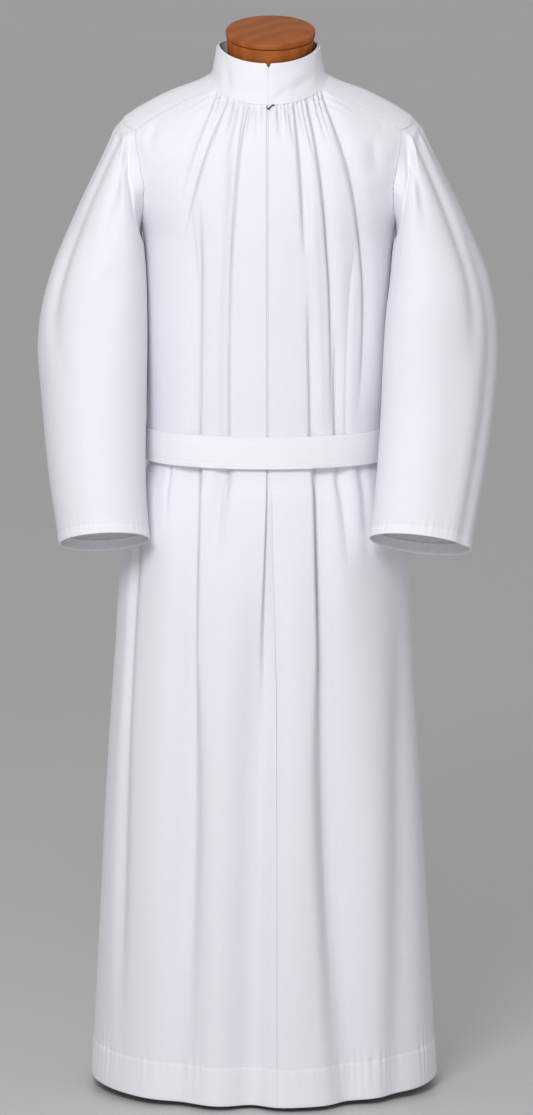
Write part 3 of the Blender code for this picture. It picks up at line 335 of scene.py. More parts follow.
SLEEVE_FOLDS = {
    Side.LEFT: (
        SleeveFold(0.00, 0.34, 40.0, 150.0, 0.0050, 13.0),
        SleeveFold(0.00, 0.40, 12.0, 122.0, -0.0040, 13.0),
        SleeveFold(0.06, 0.45, 62.0, 78.0, 0.0050, 9.0),
        SleeveFold(0.04, 0.70, 28.0, 42.0, 0.0045, 9.0),
        SleeveFold(0.02, 0.45, 8.0, 14.0, 0.0025, 5.0),
        SleeveFold(0.40, 0.85, 110.0, 82.0, 0.0040, 16.0),
        SleeveFold(0.36, 0.80, 20.0, 62.0, 0.0035, 12.0),
        SleeveFold(0.05, 0.80, 310.0, 300.0, 0.0050, 14.0),
    ),
    Side.RIGHT: (
        SleeveFold(0.00, 0.34, 44.0, 150.0, 0.0060, 12.0),
        SleeveFold(0.00, 0.42, 14.0, 122.0, -0.0045, 13.0),
        SleeveFold(0.02, 0.40, 58.0, 84.0, 0.0060, 8.0),
        SleeveFold(0.02, 0.75, 34.0, 58.0, 0.0055, 9.0),
        SleeveFold(0.02, 0.40, 12.0, 18.0, 0.0025, 5.0),
        SleeveFold(0.02, 0.34, 23.0, 36.0, 0.0022, 4.5),
        SleeveFold(0.40, 1.16, 30.0, 34.0, 0.0045, 12.0),
        SleeveFold(0.60, 1.10, 80.0, 60.0, 0.0025, 16.0),
        SleeveFold(0.05, 0.80, 312.0, 300.0, 0.0050, 14.0),
    ),
}


class CollarRing(NamedTuple):
    """The stand collar's half sizes at a share h of its height."""

    h: float
    half_width: float
    front: float
    back: float


COLLAR_RINGS = (
    CollarRing(0.00, 0.0880, 0.0880, 0.0720),
    CollarRing(0.14, 0.0845, 0.0858, 0.0714),
    CollarRing(0.45, 0.0812, 0.0822, 0.0708),
    CollarRing(1.00, 0.0770, 0.0770, 0.0695),
)


class WirePoint(NamedTuple):
    """A point of a bent wire: a place on the fronts, and its height above them."""

    x: float
    v: float
    lift: float


HOOK_WIRE = (
    WirePoint(0.0072, 0.0052, 0.0010),
    WirePoint(0.0082, 0.0040, 0.0010),
    WirePoint(0.0076, 0.0028, 0.0010),
    WirePoint(0.0062, 0.0030, 0.0011),
    WirePoint(0.0045, 0.0052, 0.0018),
    WirePoint(0.0022, 0.0084, 0.0029),
    WirePoint(0.0004, 0.0108, 0.0031),
    WirePoint(-0.0010, 0.0114, 0.0030),
    WirePoint(-0.0018, 0.0104, 0.0028),
)
BAR_WIRE = (
    WirePoint(-0.0030, 0.0070, 0.0010),
    WirePoint(-0.0022, 0.0082, 0.0010),
    WirePoint(0.0012, 0.0116, 0.0010),
    WirePoint(0.0014, 0.0130, 0.0010),
)


def smoothstep(low: float, high: float, value: Array) -> Array:
    """0 below low, 1 above high, and an S curve between them."""
    t = np.clip((np.asarray(value, float) - low) / (high - low), 0.0, 1.0)
    return t * t * (3.0 - 2.0 * t)


def unit(vectors: Array) -> Array:
    """The same directions with length 1."""
    return vectors / np.maximum(np.linalg.norm(vectors, axis=-1, keepdims=True), 1e-12)


def read_rows(rows: tuple, column: str, at: Array, where: str = "v") -> Array:
    """Reads a table's column between its rows, on a smooth curve that doesn't overshoot.

    Args:
        rows: The table, sorted by its place column.
        column: The column to read.
        at: The places to read it at.
        where: The name of the place column.

    Returns:
        The values, in the shape of at.
    """
    most_tangent = 2.5
    x = np.array([getattr(row, where) for row in rows], float)
    y = np.array([getattr(row, column) for row in rows], float)
    step = np.diff(x)
    slope = np.diff(y) / step
    inner = (slope[:-1] * step[1:] + slope[1:] * step[:-1]) / (step[:-1] + step[1:])
    inner = np.where(slope[:-1] * slope[1:] <= 0, 0.0, inner)
    steepest = most_tangent * np.minimum(abs(slope[:-1]), abs(slope[1:]))
    tangent = np.concatenate([slope[:1], np.clip(inner, -steepest, steepest), slope[-1:]])
    at = np.clip(np.asarray(at, float), x[0], x[-1])
    i = np.clip(np.searchsorted(x, at, side="right") - 1, 0, len(step) - 1)
    h = step[i]
    t = (at - x[i]) / h
    return (
        y[i] * (1 + 2 * t) * (1 - t) ** 2
        + tangent[i] * h * t * (1 - t) ** 2
        + y[i + 1] * t * t * (3 - 2 * t)
        + tangent[i + 1] * h * t * t * (t - 1)
    )


def spread(*stops: tuple[float, int]) -> Array:
    """Values from (end, count) stretches, starting at the first end."""
    values = [stops[0][0]]
    for (start, _), (end, count) in zip(stops, stops[1:]):
        values += [start + (end - start) * (k + 1) / count for k in range(count)]
    return np.array(values)


def turned_in(down: Array, end: float, pace: float) -> tuple[Array, Array]:
    """Follows a hem round its turned edge and up the inside.

    Args:
        down: Places along the cloth, which run on past the edge.
        end: The place where the turn starts.
        pace: Metres of cloth in one unit of down.

    Returns:
        The level on the garment, and how far the cloth lies inside its outer surface.
    """
    down = np.asarray(down, float)
    over = np.maximum(down - end, 0.0) * pace
    bend = np.clip(over / TURN_RADIUS, 0.0, math.pi)
    up = np.maximum(over - math.pi * TURN_RADIUS, 0.0)
    level = np.minimum(down, end) + (TURN_RADIUS * np.sin(bend) - up) / pace
    return level, TURN_RADIUS * (1 - np.cos(bend))


def hem_rows(end: float, pace: float, depth: float, count: int) -> Array:
    """The rows of a sheet's grid that go round a hem's edge and up the inside."""
    bend = math.pi * TURN_RADIUS / pace
    return np.concatenate([end + bend * np.array([0.25, 0.5, 0.75, 1.0]),
                           end + bend + depth / pace * (np.arange(count) + 1) / count])


def puckers(run: Array, off: Array, pitch: float, reach: float) -> Array:
    """The small waves beside a row of stitches, from -1 to 1.

    Args:
        run: Metres along the seam.
        off: Metres from it.
        pitch: The length of a typical wave.
        reach: How far from the seam they fade.
    """
    phase = 2 * math.pi * run / pitch
    wave = 0.55 * np.sin(phase + 1.4 * np.sin(phase / 3.7)) + 0.45 * np.sin(0.63 * phase + 2.0 * np.sin(phase / 7.3))
    strength = 0.55 + 0.45 * np.sin(phase / 11.0 + 1.0)
    return wave * strength * np.exp(-abs(off) / reach)


@dataclass(frozen=True)
class RobeForm:
    """The robe's outer surface: its sections, folds, gathers and seams."""

    rings: tuple[Ring, ...] = BODY_RINGS
    folds: tuple[Fold, ...] = LARGE_FOLDS + FINE_FOLDS + tuple(tuck.fold() for tuck in NECK_TUCKS)
    ridge_rounding: float = 0.2
    gather_count: int = 54
    gather_height: float = 0.0008
    fine_gather_count: int = 97
    fine_gather_height: float = 0.0004
    gather_fade: float = 0.040
    crease_depth: float = 0.0034
    low_softness: float = 0.85
    chest_softness: float = 0.45
    low_width: float = 0.015
    creased_fold: float = 0.0060
    crease_width: float = 0.0013
    belt_press: float = 0.92
    belt_ease: float = 0.008
    belt_release: float = 0.006
    belt_recess: float = 0.0045
    neck_narrowing: float = 0.50
    neck_reach: float = 0.045
    neck_sharpness: float = 0.60
    lap_width: float = 0.014
    lap_drop: float = 0.0026
    tuck_turn: float = 0.0035
    tuck_widening: float = 0.012
    step_width: float = 0.0006
    step_share: float = 0.7
    lap_thinning: float = 0.0012
    turn_share: float = 0.3
    tuck_reach: float = 0.012
    tuck_share: float = 0.35
    neck_power: float = 0.62

    def read(self, column: str, v: Array) -> Array:
        """A column of the sections at a level."""
        return read_rows(self.rings, column, v)

    def base(self, angle: Array, v: Array) -> Array:
        """The surface without folds, at an angle in degrees from the centre front and a level v."""
        turn = np.radians(angle)
        sine, cosine = np.sin(turn), np.cos(turn)
        at_front = cosine >= 0
        depth = np.where(at_front, self.read("front", v), self.read("back", v))
        z_side = self.read("z_side", v)
        z_end = np.where(at_front, self.read("z_front", v), self.read("z_back", v))
        reach = abs(cosine)
        fall = reach * reach * (1 + self.ridge_rounding) / (reach + self.ridge_rounding)
        x = self.read("shift", v) + self.read("half_width", v) * sine
        return np.stack([x, -depth * cosine, z_side + (z_end - z_side) * fall], axis=-1)

    def normal(self, angle: Array, v: Array) -> Array:
        """The outward direction of the surface without folds."""
        across = self.base(angle + 0.5, v) - self.base(angle - 0.5, v)
        down = self.base(angle, v + 0.002) - self.base(angle, v - 0.002)
        return unit(np.cross(down, across))

    def fold_parts(self, angle: Array, v: Array) -> tuple[Array, Array]:
        """The folds at points of the surface.

        Args:
            angle: Degrees from the centre front.
            v: Levels down the cloth.

        Returns:
            How far the folds push the cloth out, which is negative in a valley, and how much a point lies in
            the sharp crease at a valley's foot, from 0 to 1, which the finish uses to paint shade into the creases.
        """
        half_width, shift = self.read("half_width", v), self.read("shift", v)
        depths = {Face.FRONT: self.read("front", v), Face.BACK: self.read("back", v)}
        turn = np.radians(angle)
        narrow = 1 - self.neck_narrowing * np.exp(-v / self.neck_reach)
        power = 2.0 - self.neck_sharpness * np.exp(-((v / (2 * self.neck_reach)) ** 2))
        total = np.zeros(np.shape(v))
        painted_crease_shade = np.zeros(np.shape(v))
        softer = 1 - self.low_softness * smoothstep(0.70, 1.10, v)
        softer = softer - self.chest_softness * smoothstep(0.26, 0.40, v) * (1 - smoothstep(V_BELT_TOP, 0.60, v))
        low_width = self.low_width * smoothstep(0.72, 1.15, v)
        for fold in self.folds:
            t = (v - fold.v_top) / (fold.v_end - fold.v_top)
            mid = (fold.v_mid - fold.v_top) / (fold.v_end - fold.v_top)
            bend = (fold.x_mid - fold.x_top - (fold.x_end - fold.x_top) * mid) / (mid * (mid - 1))
            x = fold.x_top + (fold.x_end - fold.x_top) * t + bend * t * (t - 1)
            path = np.arcsin(np.clip((x - shift) / half_width, -0.995, 0.995))
            if fold.face is Face.BACK:
                path = math.pi - path
            off = (turn - path + math.pi) % (2 * math.pi) - math.pi
            middle = turn - off / 2
            distance = off * np.hypot(half_width * np.cos(middle), depths[fold.face] * np.sin(middle))
            distance = distance * fold.face.value
            width = np.maximum(np.where(distance < 0, fold.left, fold.right) * narrow, low_width)
            lapped = 1 - min(fold.left, fold.right) / max(fold.left, fold.right)
            fade = smoothstep(fold.v_top, fold.v_top + fold.fade_in, v)
            fade = fade * (1 - smoothstep(fold.v_end - fold.fade_out, fold.v_end, v))
            total = total - fold.depth * fade * np.exp(-((abs(distance) / width) ** power))
            sharp = min(1.0, max(fold.depth, 0.0) / self.creased_fold) * min(1.0, 1.5 * lapped) * softer
            crease = sharp * fade * np.exp(-((distance / (self.crease_width * (1 + v))) ** 2))
            total = total - self.crease_depth * crease
            painted_crease_shade = np.maximum(painted_crease_shade, crease)
        press = smoothstep(V_BELT_TOP + 0.001, V_BELT_TOP + 0.001 + self.belt_ease, v)
        press = press * (1 - smoothstep(V_BELT_BOTTOM - self.belt_release, V_BELT_BOTTOM, v))
        return total * (1 - self.belt_press * press), painted_crease_shade

    def clear_of_form(self, out: Array, v: Array) -> Array:
        """Makes valleys shallower where the dress form is close behind the cloth."""
        room = np.interp(v, *zip(*FORM_ROOM))
        deep = np.maximum(-out, 0.0) / room
        return np.where(out < 0, -room * deep / (1 + deep**4) ** 0.25, out)

    def gathers(self, angle: Array, v: Array) -> Array:
        """The fine gathers that leave the neck seam and soon fade out."""
        turn = np.radians(angle)
        waves = self.gather_height * np.cos(turn * self.gather_count + 1.2 * np.sin(turn * 5.0))
        small = self.fine_gather_height * np.cos(turn * self.fine_gather_count + 1.7 * np.sin(turn * 7.0))
        rise = 1 - np.exp(-v / 0.003)
        fade = np.exp(-((v / self.gather_fade) ** 2))
        small_fade = np.exp(-((v / (0.5 * self.gather_fade)) ** 2))
        from_front = abs((np.asarray(angle, float) + 180.0) % 360.0 - 180.0)
        off_centre = smoothstep(6.0, 12.0, from_front)
        return (waves * fade + small * small_fade) * rise * off_centre

    def edge_angle(self, v: Array) -> Array:
        """Where a panel ends: the yoke seam, below it the armhole, and then the side seam."""
        v = np.asarray(v, float)
        upper = np.where(v < V_YOKE, read_rows(YOKE_SEAM, "angle", v), read_rows(ARMHOLE, "angle", v))
        return np.where(v < V_ARMPIT, upper, 90.0)

    def edge_distance(self, angle: Array, v: Array) -> Array:
        """About how far a point of a panel is from its armhole, in metres."""
        step = 0.002
        from_side = abs((np.asarray(angle, float) + 180.0) % 360.0 - 180.0)
        from_side = np.where(from_side > 90.0, 180.0 - from_side, from_side)
        radius = self.read("half_width", v)
        edge = self.edge_angle(np.clip(v, V_YOKE + 1e-4, V_ARMPIT - 1e-4))
        below = self.edge_angle(np.clip(v + step, V_YOKE + 1e-4, V_ARMPIT - 1e-4))
        lean = np.radians(below - edge) * radius / step
        return np.radians(edge - from_side) * radius * 0.75 / np.hypot(1.0, lean)

    def side_trim(self, v: Array) -> Array:
        """Half the side seam's gap as an angle, and 0 above the armpit."""
        return np.where(np.asarray(v) < V_ARMPIT, 0.0, np.degrees(SEAM_GAP / 2 / self.read("back", v)))

    def quiet_edges(self, angle: Array, v: Array) -> Array:
        """1 inside a panel, falling to 0 at the armhole and yoke seams, where pieces meet."""
        from_side = abs((np.asarray(angle, float) + 180.0) % 360.0 - 180.0)
        from_side = np.where(from_side > 90.0, 180.0 - from_side, from_side)
        edge = self.edge_angle(np.minimum(v, V_ARMPIT - 1e-6))
        inside = smoothstep(1.5, 10.0, edge - from_side)
        below = smoothstep(V_ARMPIT - 0.02, V_ARMPIT + 0.05, v)
        return inside + (1 - inside) * below

    def hem_relief(self, angle: Array, v: Array) -> Array:
        """The pressed line of the hem's stitches and the puckers round them."""
        run = np.radians(angle) * 0.235
        off = v - (V_HEM - HEM_STITCH)
        groove = -0.0006 * np.exp(-((off / 0.0016) ** 2))
        reach = np.where(off > 0, 0.030, 0.012)
        doubled = 0.0005 * smoothstep(-0.001, 0.003, off)
        return groove + doubled + 0.0012 * puckers(run, off / reach, 0.013, 1.0)

    def armhole_relief(self, angle: Array, v: Array) -> Array:
        """The raised, twice stitched strip along the armhole."""
        off = self.edge_distance(angle, v)
        at_seam = smoothstep(V_YOKE - 0.002, V_YOKE + 0.006, v) * (1 - smoothstep(V_ARMPIT - 0.03, V_ARMPIT, v))
        strip = 0.00045 * (1 - smoothstep(0.0048, 0.0060, off))
        line = -0.00030 * np.exp(-(((off - 0.0046) / 0.0009) ** 2))
        wave = 0.0007 * puckers(v, np.maximum(off - 0.0046, 0.0), 0.009, 0.008)
        return (strip + line + wave) * at_seam

    def surface(self, angle: Array, v: Array, lift: Array | float = 0.0) -> Array:
        """The outer surface with all its relief, moved out by lift."""
        angle, v = np.broadcast_arrays(np.asarray(angle, float), np.asarray(v, float))
        out = (self.fold_parts(angle, v)[0] + self.gathers(angle, v)) * self.quiet_edges(angle, v)
        out = out + self.hem_relief(angle, v) * smoothstep(V_HEM - 0.12, V_HEM - 0.08, v)
        recess = smoothstep(V_BELT_BOTTOM - 0.008, V_BELT_BOTTOM, v) * (1 - smoothstep(V_BELT_BOTTOM + 0.004, 0.650, v))
        out = self.clear_of_form(out - self.belt_recess * recess, v) + self.armhole_relief(angle, v) + lift
        return self.base(angle, v) + self.normal(angle, v) * out[..., None]

    def angle_at(self, x: Array, v: Array) -> Array:
        """The angle at which the front has this x."""
        reach = (x - self.read("shift", v)) / self.read("half_width", v)
        return np.degrees(np.arcsin(np.clip(reach, -1, 1)))

    def panel_angle(self, s: Array, v: Array, start: Array) -> Array:
        """A panel's columns, from s = 0 at its centre edge to s = 1 at its outer seam."""
        power = self.neck_power + (1 - self.neck_power) * smoothstep(0.0, V_SHOULDER_TIP, v)
        return start + s**power * (self.edge_angle(v) - self.side_trim(v) - start)

    def front_net(self, side: Side) -> Callable[[Array, Array], tuple[Array, Array, Array]]:
        """A front panel's net, as a function from (s, v) to an angle, a level and a lift.

        The left panel's net starts at s = -1, the far edge of the strip under the right panel.
        """
        sign = side.value

        def net(s: Array, v: Array) -> tuple[Array, Array, Array]:
            left, right = read_rows(OPENING, "left_edge", v), read_rows(OPENING, "right_edge", v)
            tuck = read_rows(OPENING, "tuck", v)
            turn_width = self.tuck_turn + self.tuck_widening * smoothstep(0.72, 1.10, v)
            drop = self.lap_drop - self.lap_thinning * smoothstep(0.80, 1.20, v)
            start = sign * self.angle_at(left if side is Side.LEFT else right, v)
            angle = self.panel_angle(np.maximum(s, 0.0), v, start)
            flush = smoothstep(0.80, 1.05, v)
            turned = np.clip(-s / self.turn_share, 0, 1) * turn_width
            near, far = right - self.step_width, right + self.step_width / 4
            to_step = np.clip((-s - self.turn_share) / (self.step_share - self.turn_share), 0, 1)
            over = np.clip((-s - self.step_share) / self.step_share * 8, 0, 1)
            rest = np.clip((-s - self.step_share * 1.125) / (1 - self.step_share * 1.125), 0, 1)
            strip_x = left + turned + (near - left - turn_width) * to_step
            strip_x = strip_x + (far - near) * over + (right + self.lap_width - far) * rest
            angle = np.where(s < 0, sign * self.angle_at(strip_x, v), angle) * sign
            x = self.base(angle, v)[..., 0]
            if side is Side.LEFT:
                step = smoothstep(0.0, 1.0, (x - left) / turn_width)
                under = smoothstep(0.0, 1.0, (x - near) / (far - near))
                level = self.tuck_share * tuck * np.exp(-np.maximum(right - x, 0) / self.tuck_reach)
                lift = -(drop + tuck) * step * (1 - flush) - (level + drop * under) * flush
            else:
                lift = -self.tuck_share * tuck * np.exp(-np.maximum(x - right, 0) / self.tuck_reach)
            return angle, v, lift

        return net

    def yoke_net(self, side: Side, p: Array, q: Array) -> tuple[Array, Array]:
        """A yoke's angle and level: p runs from the neck to the armhole, q from front to back."""
        v = V_YOKE * p
        front_angle = read_rows(YOKE_SEAM, "angle", v)
        angle = front_angle * (1 - q) + (180.0 - front_angle) * q
        v = v + (V_SHOULDER_TIP - V_YOKE) * p * p * 4 * q * (1 - q)
        return angle * side.value, v

    def armhole(self, side: Side, turn: Array) -> tuple[Array, Array]:
        """The armhole's angle and level at a turn: 0 at the tip, 90 near the front, 180 in the armpit."""
        q = np.linspace(0.5, 0.0, 60)
        top_angle, top_v = self.yoke_net(Side.RIGHT, np.ones(len(q)), q)
        v = np.linspace(V_YOKE, V_ARMPIT, 240)[1:]
        angle = np.concatenate([top_angle, self.edge_angle(v - 1e-9)])
        level = np.concatenate([top_v, v])
        places = self.base(angle, level)
        run = np.concatenate([[0.0], np.cumsum(np.linalg.norm(np.diff(places, axis=0), axis=1))])
        share = run / run[-1] * 180.0
        folded = np.where(np.asarray(turn) > 180.0, 360.0 - np.asarray(turn), turn)
        at_angle = np.interp(folded, share, angle)
        at_angle = np.where(np.asarray(turn) > 180.0, 180.0 - at_angle, at_angle)
        return at_angle * side.value, np.interp(folded, share, level)


@dataclass
class Sheet:
    """A flat sheet of cloth laid on a surface and given its wall.

    Attributes:
        name: The piece's name.
        across: The grid's values from side to side.
        down: Its values from top to bottom.
        surface: Gives a point for each pair of values.
        core: A point behind the cloth, which its faces turn away from.
        wall: The cloth's thickness.
        closed: Joins the first column to the last.
        edge: The rounding of the cloth's edges, or 0.
        marks: Values for the finish, by attribute name: doubled is 1 where the cloth is turned back on itself,
            and puckered is up to 1 beside a gathered row of stitches.
    """

    name: str
    across: Array
    down: Array
    surface: Surface
    core: tuple[float, float, float] = (0.0, 0.0, 0.9)
    wall: float = CLOTH_WALL
    closed: bool = False
    edge: float = 0.0
    marks: dict[str, Surface] = field(default_factory=dict)

    def lay(self) -> bpy.types.Object:
        """Makes the flat grid, lays it on the surface and gives it a wall.

        Returns:
            The finished object.
        """
        columns, rows = len(self.across) - 1, len(self.down) - 1
        bpy.ops.object.select_all(action="DESELECT")
        bpy.ops.mesh.primitive_grid_add(x_subdivisions=columns, y_subdivisions=rows, size=1.0)
        cloth = bpy.context.object
        cloth.name = cloth.data.name = self.name
        mesh = cloth.data
        flat = np.empty(len(mesh.vertices) * 3)
        mesh.vertices.foreach_get("co", flat)
        flat = flat.reshape(-1, 3)
        i = np.rint((flat[:, 0] + 0.5) * columns).astype(int)
        j = np.rint((0.5 - flat[:, 1]) * rows).astype(int)
        grid_across, grid_down = np.meshgrid(self.across, self.down, indexing="ij")
        places = self.surface(grid_across, grid_down)
        mesh.vertices.foreach_set("co", places[i, j].astype(np.float32).ravel())
        self.mark_threads(mesh, places, i, j)
        for name, values in self.marks.items():
            mark = mesh.attributes.new(name, "FLOAT", "POINT")
            at_points = np.broadcast_to(values(grid_across, grid_down), grid_down.shape)[i, j]
            mark.data.foreach_set("value", at_points.astype(np.float32))
        mesh.update()
        self.face_out(mesh)
        if self.closed:
            self.join_seam(mesh)
        mesh.shade_smooth()
        self.add_wall(cloth)
        return cloth

    def mark_threads(self, mesh: bpy.types.Mesh, places: Array, i: Array, j: Array) -> None:
        """Gives the mesh a UV map in metres along the threads, from its middle column."""
        middle = len(self.across) // 2
        across = np.linalg.norm(np.diff(places, axis=0), axis=2)
        run = np.concatenate([np.zeros((1, len(self.down))), np.cumsum(across, axis=0)])
        run = run - run[middle]
        down = np.linalg.norm(np.diff(places[middle], axis=0), axis=1)
        fall = np.concatenate([[0.0], np.cumsum(down)])
        thread = np.stack([run[i, j], -fall[j]], axis=-1)
        corners = np.empty(len(mesh.loops), np.int32)
        mesh.loops.foreach_get("vertex_index", corners)
        layer = mesh.uv_layers[0] if mesh.uv_layers else mesh.uv_layers.new()
        layer.name = "threads"
        layer.data.foreach_set("uv", thread[corners].astype(np.float32).ravel())

    def face_out(self, mesh: bpy.types.Mesh) -> None:
        """Turns the faces away from the core."""
        normals = np.empty(len(mesh.polygons) * 3)
        centres = np.empty(len(mesh.polygons) * 3)
        mesh.polygons.foreach_get("normal", normals)
        mesh.polygons.foreach_get("center", centres)
        outward = ((centres.reshape(-1, 3) - np.array(self.core)) * normals.reshape(-1, 3)).sum()
        if outward < 0:
            mesh.flip_normals()

    def join_seam(self, mesh: bpy.types.Mesh) -> None:
        """Joins the first column to the last."""
        joined = bmesh.new()
        joined.from_mesh(mesh)
        bmesh.ops.remove_doubles(joined, verts=joined.verts, dist=1e-6)
        joined.to_mesh(mesh)
        joined.free()

    def add_wall(self, cloth: bpy.types.Object) -> None:
        """Gives the cloth its wall on the inside, and rounds its edges."""
        bpy.context.view_layer.objects.active = cloth
        wall = cloth.modifiers.new("wall", "SOLIDIFY")
        wall.thickness = self.wall
        wall.offset = -1.0
        wall.use_even_offset = False
        bpy.ops.object.modifier_apply(modifier=wall.name)
        bpy.ops.object.shade_smooth_by_angle(angle=math.radians(60))
        if self.edge:
            bevel = cloth.modifiers.new("edge", "BEVEL")
            bevel.width = self.edge
            bevel.segments = 2
            bevel.limit_method = "ANGLE"
            bevel.angle_limit = math.radians(60)
            bpy.ops.object.modifier_apply(modifier=bevel.name)


@dataclass
class StitchRow:
    """A row of sewn stitches on a surface, along a path of its values."""

    surface: Surface
    across: Array
    down: Array
    sink: float = 0.00012
    pitch: float = 0.0027
    share: float = 0.72
    radius: float = 0.00026

    def places(self) -> tuple[Array, Array, Array]:
        """The stitches' centres, and their directions along and out of the cloth."""
        path = self.surface(self.across, self.down)
        run = np.concatenate([[0.0], np.cumsum(np.linalg.norm(np.diff(path, axis=0), axis=1))])
        count = max(int(run[-1] / self.pitch), 1)
        at = (np.arange(count) + 0.5) / count * run[-1]
        half = self.pitch * self.share / 2
        index = np.arange(len(run))

        def at_run(where: Array) -> tuple[Array, Array]:
            share = np.interp(where, run, index)
            return np.interp(share, index, self.across), np.interp(share, index, self.down)

        a, d = at_run(at)
        start, end = self.surface(*at_run(at - half)), self.surface(*at_run(at + half))
        centre = self.surface(a, d)
        along = unit(end - start)
        reach_a = 1e-3 * max(np.ptp(self.across), 1e-3)
        reach_d = 1e-3 * max(np.ptp(self.down), 1e-3)
        side = self.surface(a + reach_a, d) - self.surface(a - reach_a, d)
        fall = self.surface(a, d + reach_d) - self.surface(a, d - reach_d)
        out = unit(np.cross(side, fall))
        return centre, along, out


@dataclass
class Stitching:
    """All the stitches on one piece, as one mesh of small rounded threads."""

    name: str
    core: tuple[float, float, float]
    rows: list[StitchRow] = field(default_factory=list)

    def sew(self) -> bpy.types.Object:
        """Models one stitch and repeats it along every row.

        Returns:
            The stitches' object.
        """
        bpy.ops.object.select_all(action="DESELECT")
        bpy.ops.mesh.primitive_uv_sphere_add(segments=5, ring_count=3, radius=1.0, rotation=(0, math.pi / 2, 0))
        stitch = bpy.context.object
        bpy.ops.object.transform_apply(location=False, rotation=True, scale=False)
        shape = np.array([vert.co[:] for vert in stitch.data.vertices])
        faces = [tuple(face.vertices) for face in stitch.data.polygons]
        bpy.data.objects.remove(stitch)
        blocks: list[Array] = []
        for row in self.rows:
            centre, along, out = row.places()
            out = out * np.sign(((centre - np.array(self.core)) * out).sum(-1, keepdims=True))
            out = unit(out - along * (out * along).sum(-1, keepdims=True))
            side = np.cross(out, along)
            axes = np.stack([along * row.pitch * row.share / 2, side * row.radius, out * row.radius * 0.8], axis=1)
            blocks.append((centre - out * row.sink)[:, None, :] + np.einsum("vk,nkj->nvj", shape, axes))
        places = np.concatenate(blocks)
        count = len(shape)
        loops = [tuple(k * count + v for v in face) for k in range(len(places)) for face in faces]
        mesh = bpy.data.meshes.new(self.name)
        mesh.from_pydata(places.reshape(-1, 3).tolist(), [], loops)
        mesh.shade_smooth()
        sewn = bpy.data.objects.new(self.name, mesh)
        bpy.context.scene.collection.objects.link(sewn)
        return sewn


class Wiring:
    """Adds nodes to a node tree and joins them, with fewer words."""

    def __init__(self, tree: bpy.types.NodeTree) -> None:
        """Takes the tree that it adds to."""
        self.tree = tree

    def add(self, kind: str, inputs: dict | None = None, **settings: object) -> bpy.types.Node:
        """Adds a node.

        Args:
            kind: The node's type, without the words ShaderNode.
            inputs: Values or output sockets for its inputs, by name or number.
            settings: The node's own settings.

        Returns:
            The new node.
        """
        node = self.tree.nodes.new("ShaderNode" + kind)
        for key, value in settings.items():
            setattr(node, key, value)
        for key, value in (inputs or {}).items():
            if isinstance(value, bpy.types.NodeSocket):
                self.tree.links.new(value, node.inputs[key])
            else:
                node.inputs[key].default_value = value
        return node

    def math(self, operation: str, a: object, b: object = 0.0, clamp: bool = False) -> bpy.types.NodeSocket:
        """The result of a Math node."""
        return self.add("Math", {0: a, 1: b}, operation=operation, use_clamp=clamp).outputs[0]

    def mix(self, share: object, a: object, b: object) -> bpy.types.NodeSocket:
        """A colour between a and b."""
        node = self.add("Mix", data_type="RGBA")
        for key, value in ((0, share), (6, a), (7, b)):
            if isinstance(value, bpy.types.NodeSocket):
                self.tree.links.new(value, node.inputs[key])
            else:
                node.inputs[key].default_value = value
        return node.outputs[2]


def new_group(name: str, inputs: dict[str, tuple[str, object]], outputs: dict[str, str]) -> tuple:
    """An empty shader node group with named sockets.

    Args:
        name: The group's name.
        inputs: Socket types and first values, by name.
        outputs: Socket types, by name.

    Returns:
        The group, its wiring, its input node and its output node.
    """
    tree = bpy.data.node_groups.new(name, "ShaderNodeTree")
    for key, (kind, value) in inputs.items():
        socket = tree.interface.new_socket(key, in_out="INPUT", socket_type=kind)
        if kind != "NodeSocketVector":
            socket.default_value = value
    for key, kind in outputs.items():
        tree.interface.new_socket(key, in_out="OUTPUT", socket_type=kind)
    return tree, Wiring(tree), tree.nodes.new("NodeGroupInput"), tree.nodes.new("NodeGroupOutput")


def plain_weave_group() -> bpy.types.NodeTree:
    """A plain weave: warp and weft threads that pass over each other by turns."""
    tree, wire, given, result = new_group(
        "plain_weave",
        {"Vector": ("NodeSocketVector", None), "Threads": ("NodeSocketFloat", 2200.0), "Unevenness": ("NodeSocketFloat", 0.25)},
        {"Height": "NodeSocketFloat", "Slub": "NodeSocketFloat"},
    )
    apart = wire.add("SeparateXYZ", {0: given.outputs["Vector"]})
    turns = wire.math("MULTIPLY", given.outputs["Threads"], math.pi)
    warp = wire.math("SINE", wire.math("MULTIPLY", apart.outputs[0], turns))
    weft = wire.math("SINE", wire.math("MULTIPLY", apart.outputs[1], turns))
    over = wire.math("MULTIPLY_ADD", wire.math("MULTIPLY", warp, weft), 1.6)
    over.node.inputs[2].default_value = 0.5
    over.node.use_clamp = True
    lifted = wire.math("MULTIPLY", over, wire.math("ABSOLUTE", warp))
    under = wire.math("MULTIPLY", wire.math("SUBTRACT", 1.0, over), wire.math("ABSOLUTE", weft))
    height = wire.math("ADD", lifted, under)
    stretch = wire.add("Mapping", {"Vector": given.outputs["Vector"], "Scale": (900.0, 60.0, 1.0)})
    slub = wire.add("TexNoise", {"Vector": stretch.outputs[0], "Scale": 1.0, "Detail": 2.0, "Roughness": 0.6})
    stretch_down = wire.add("Mapping", {"Vector": given.outputs["Vector"], "Scale": (60.0, 900.0, 1.0)})
    slub_down = wire.add("TexNoise", {"Vector": stretch_down.outputs[0], "Scale": 1.0, "Detail": 2.0, "Roughness": 0.6})
    both = wire.math("MULTIPLY", wire.math("ADD", slub.outputs[0], slub_down.outputs[0]), 0.5)
    uneven = wire.math("MULTIPLY", wire.math("SUBTRACT", both, 0.5), given.outputs["Unevenness"])
    wire.tree.links.new(wire.math("ADD", height, uneven), result.inputs["Height"])
    wire.tree.links.new(both, result.inputs["Slub"])
    return tree


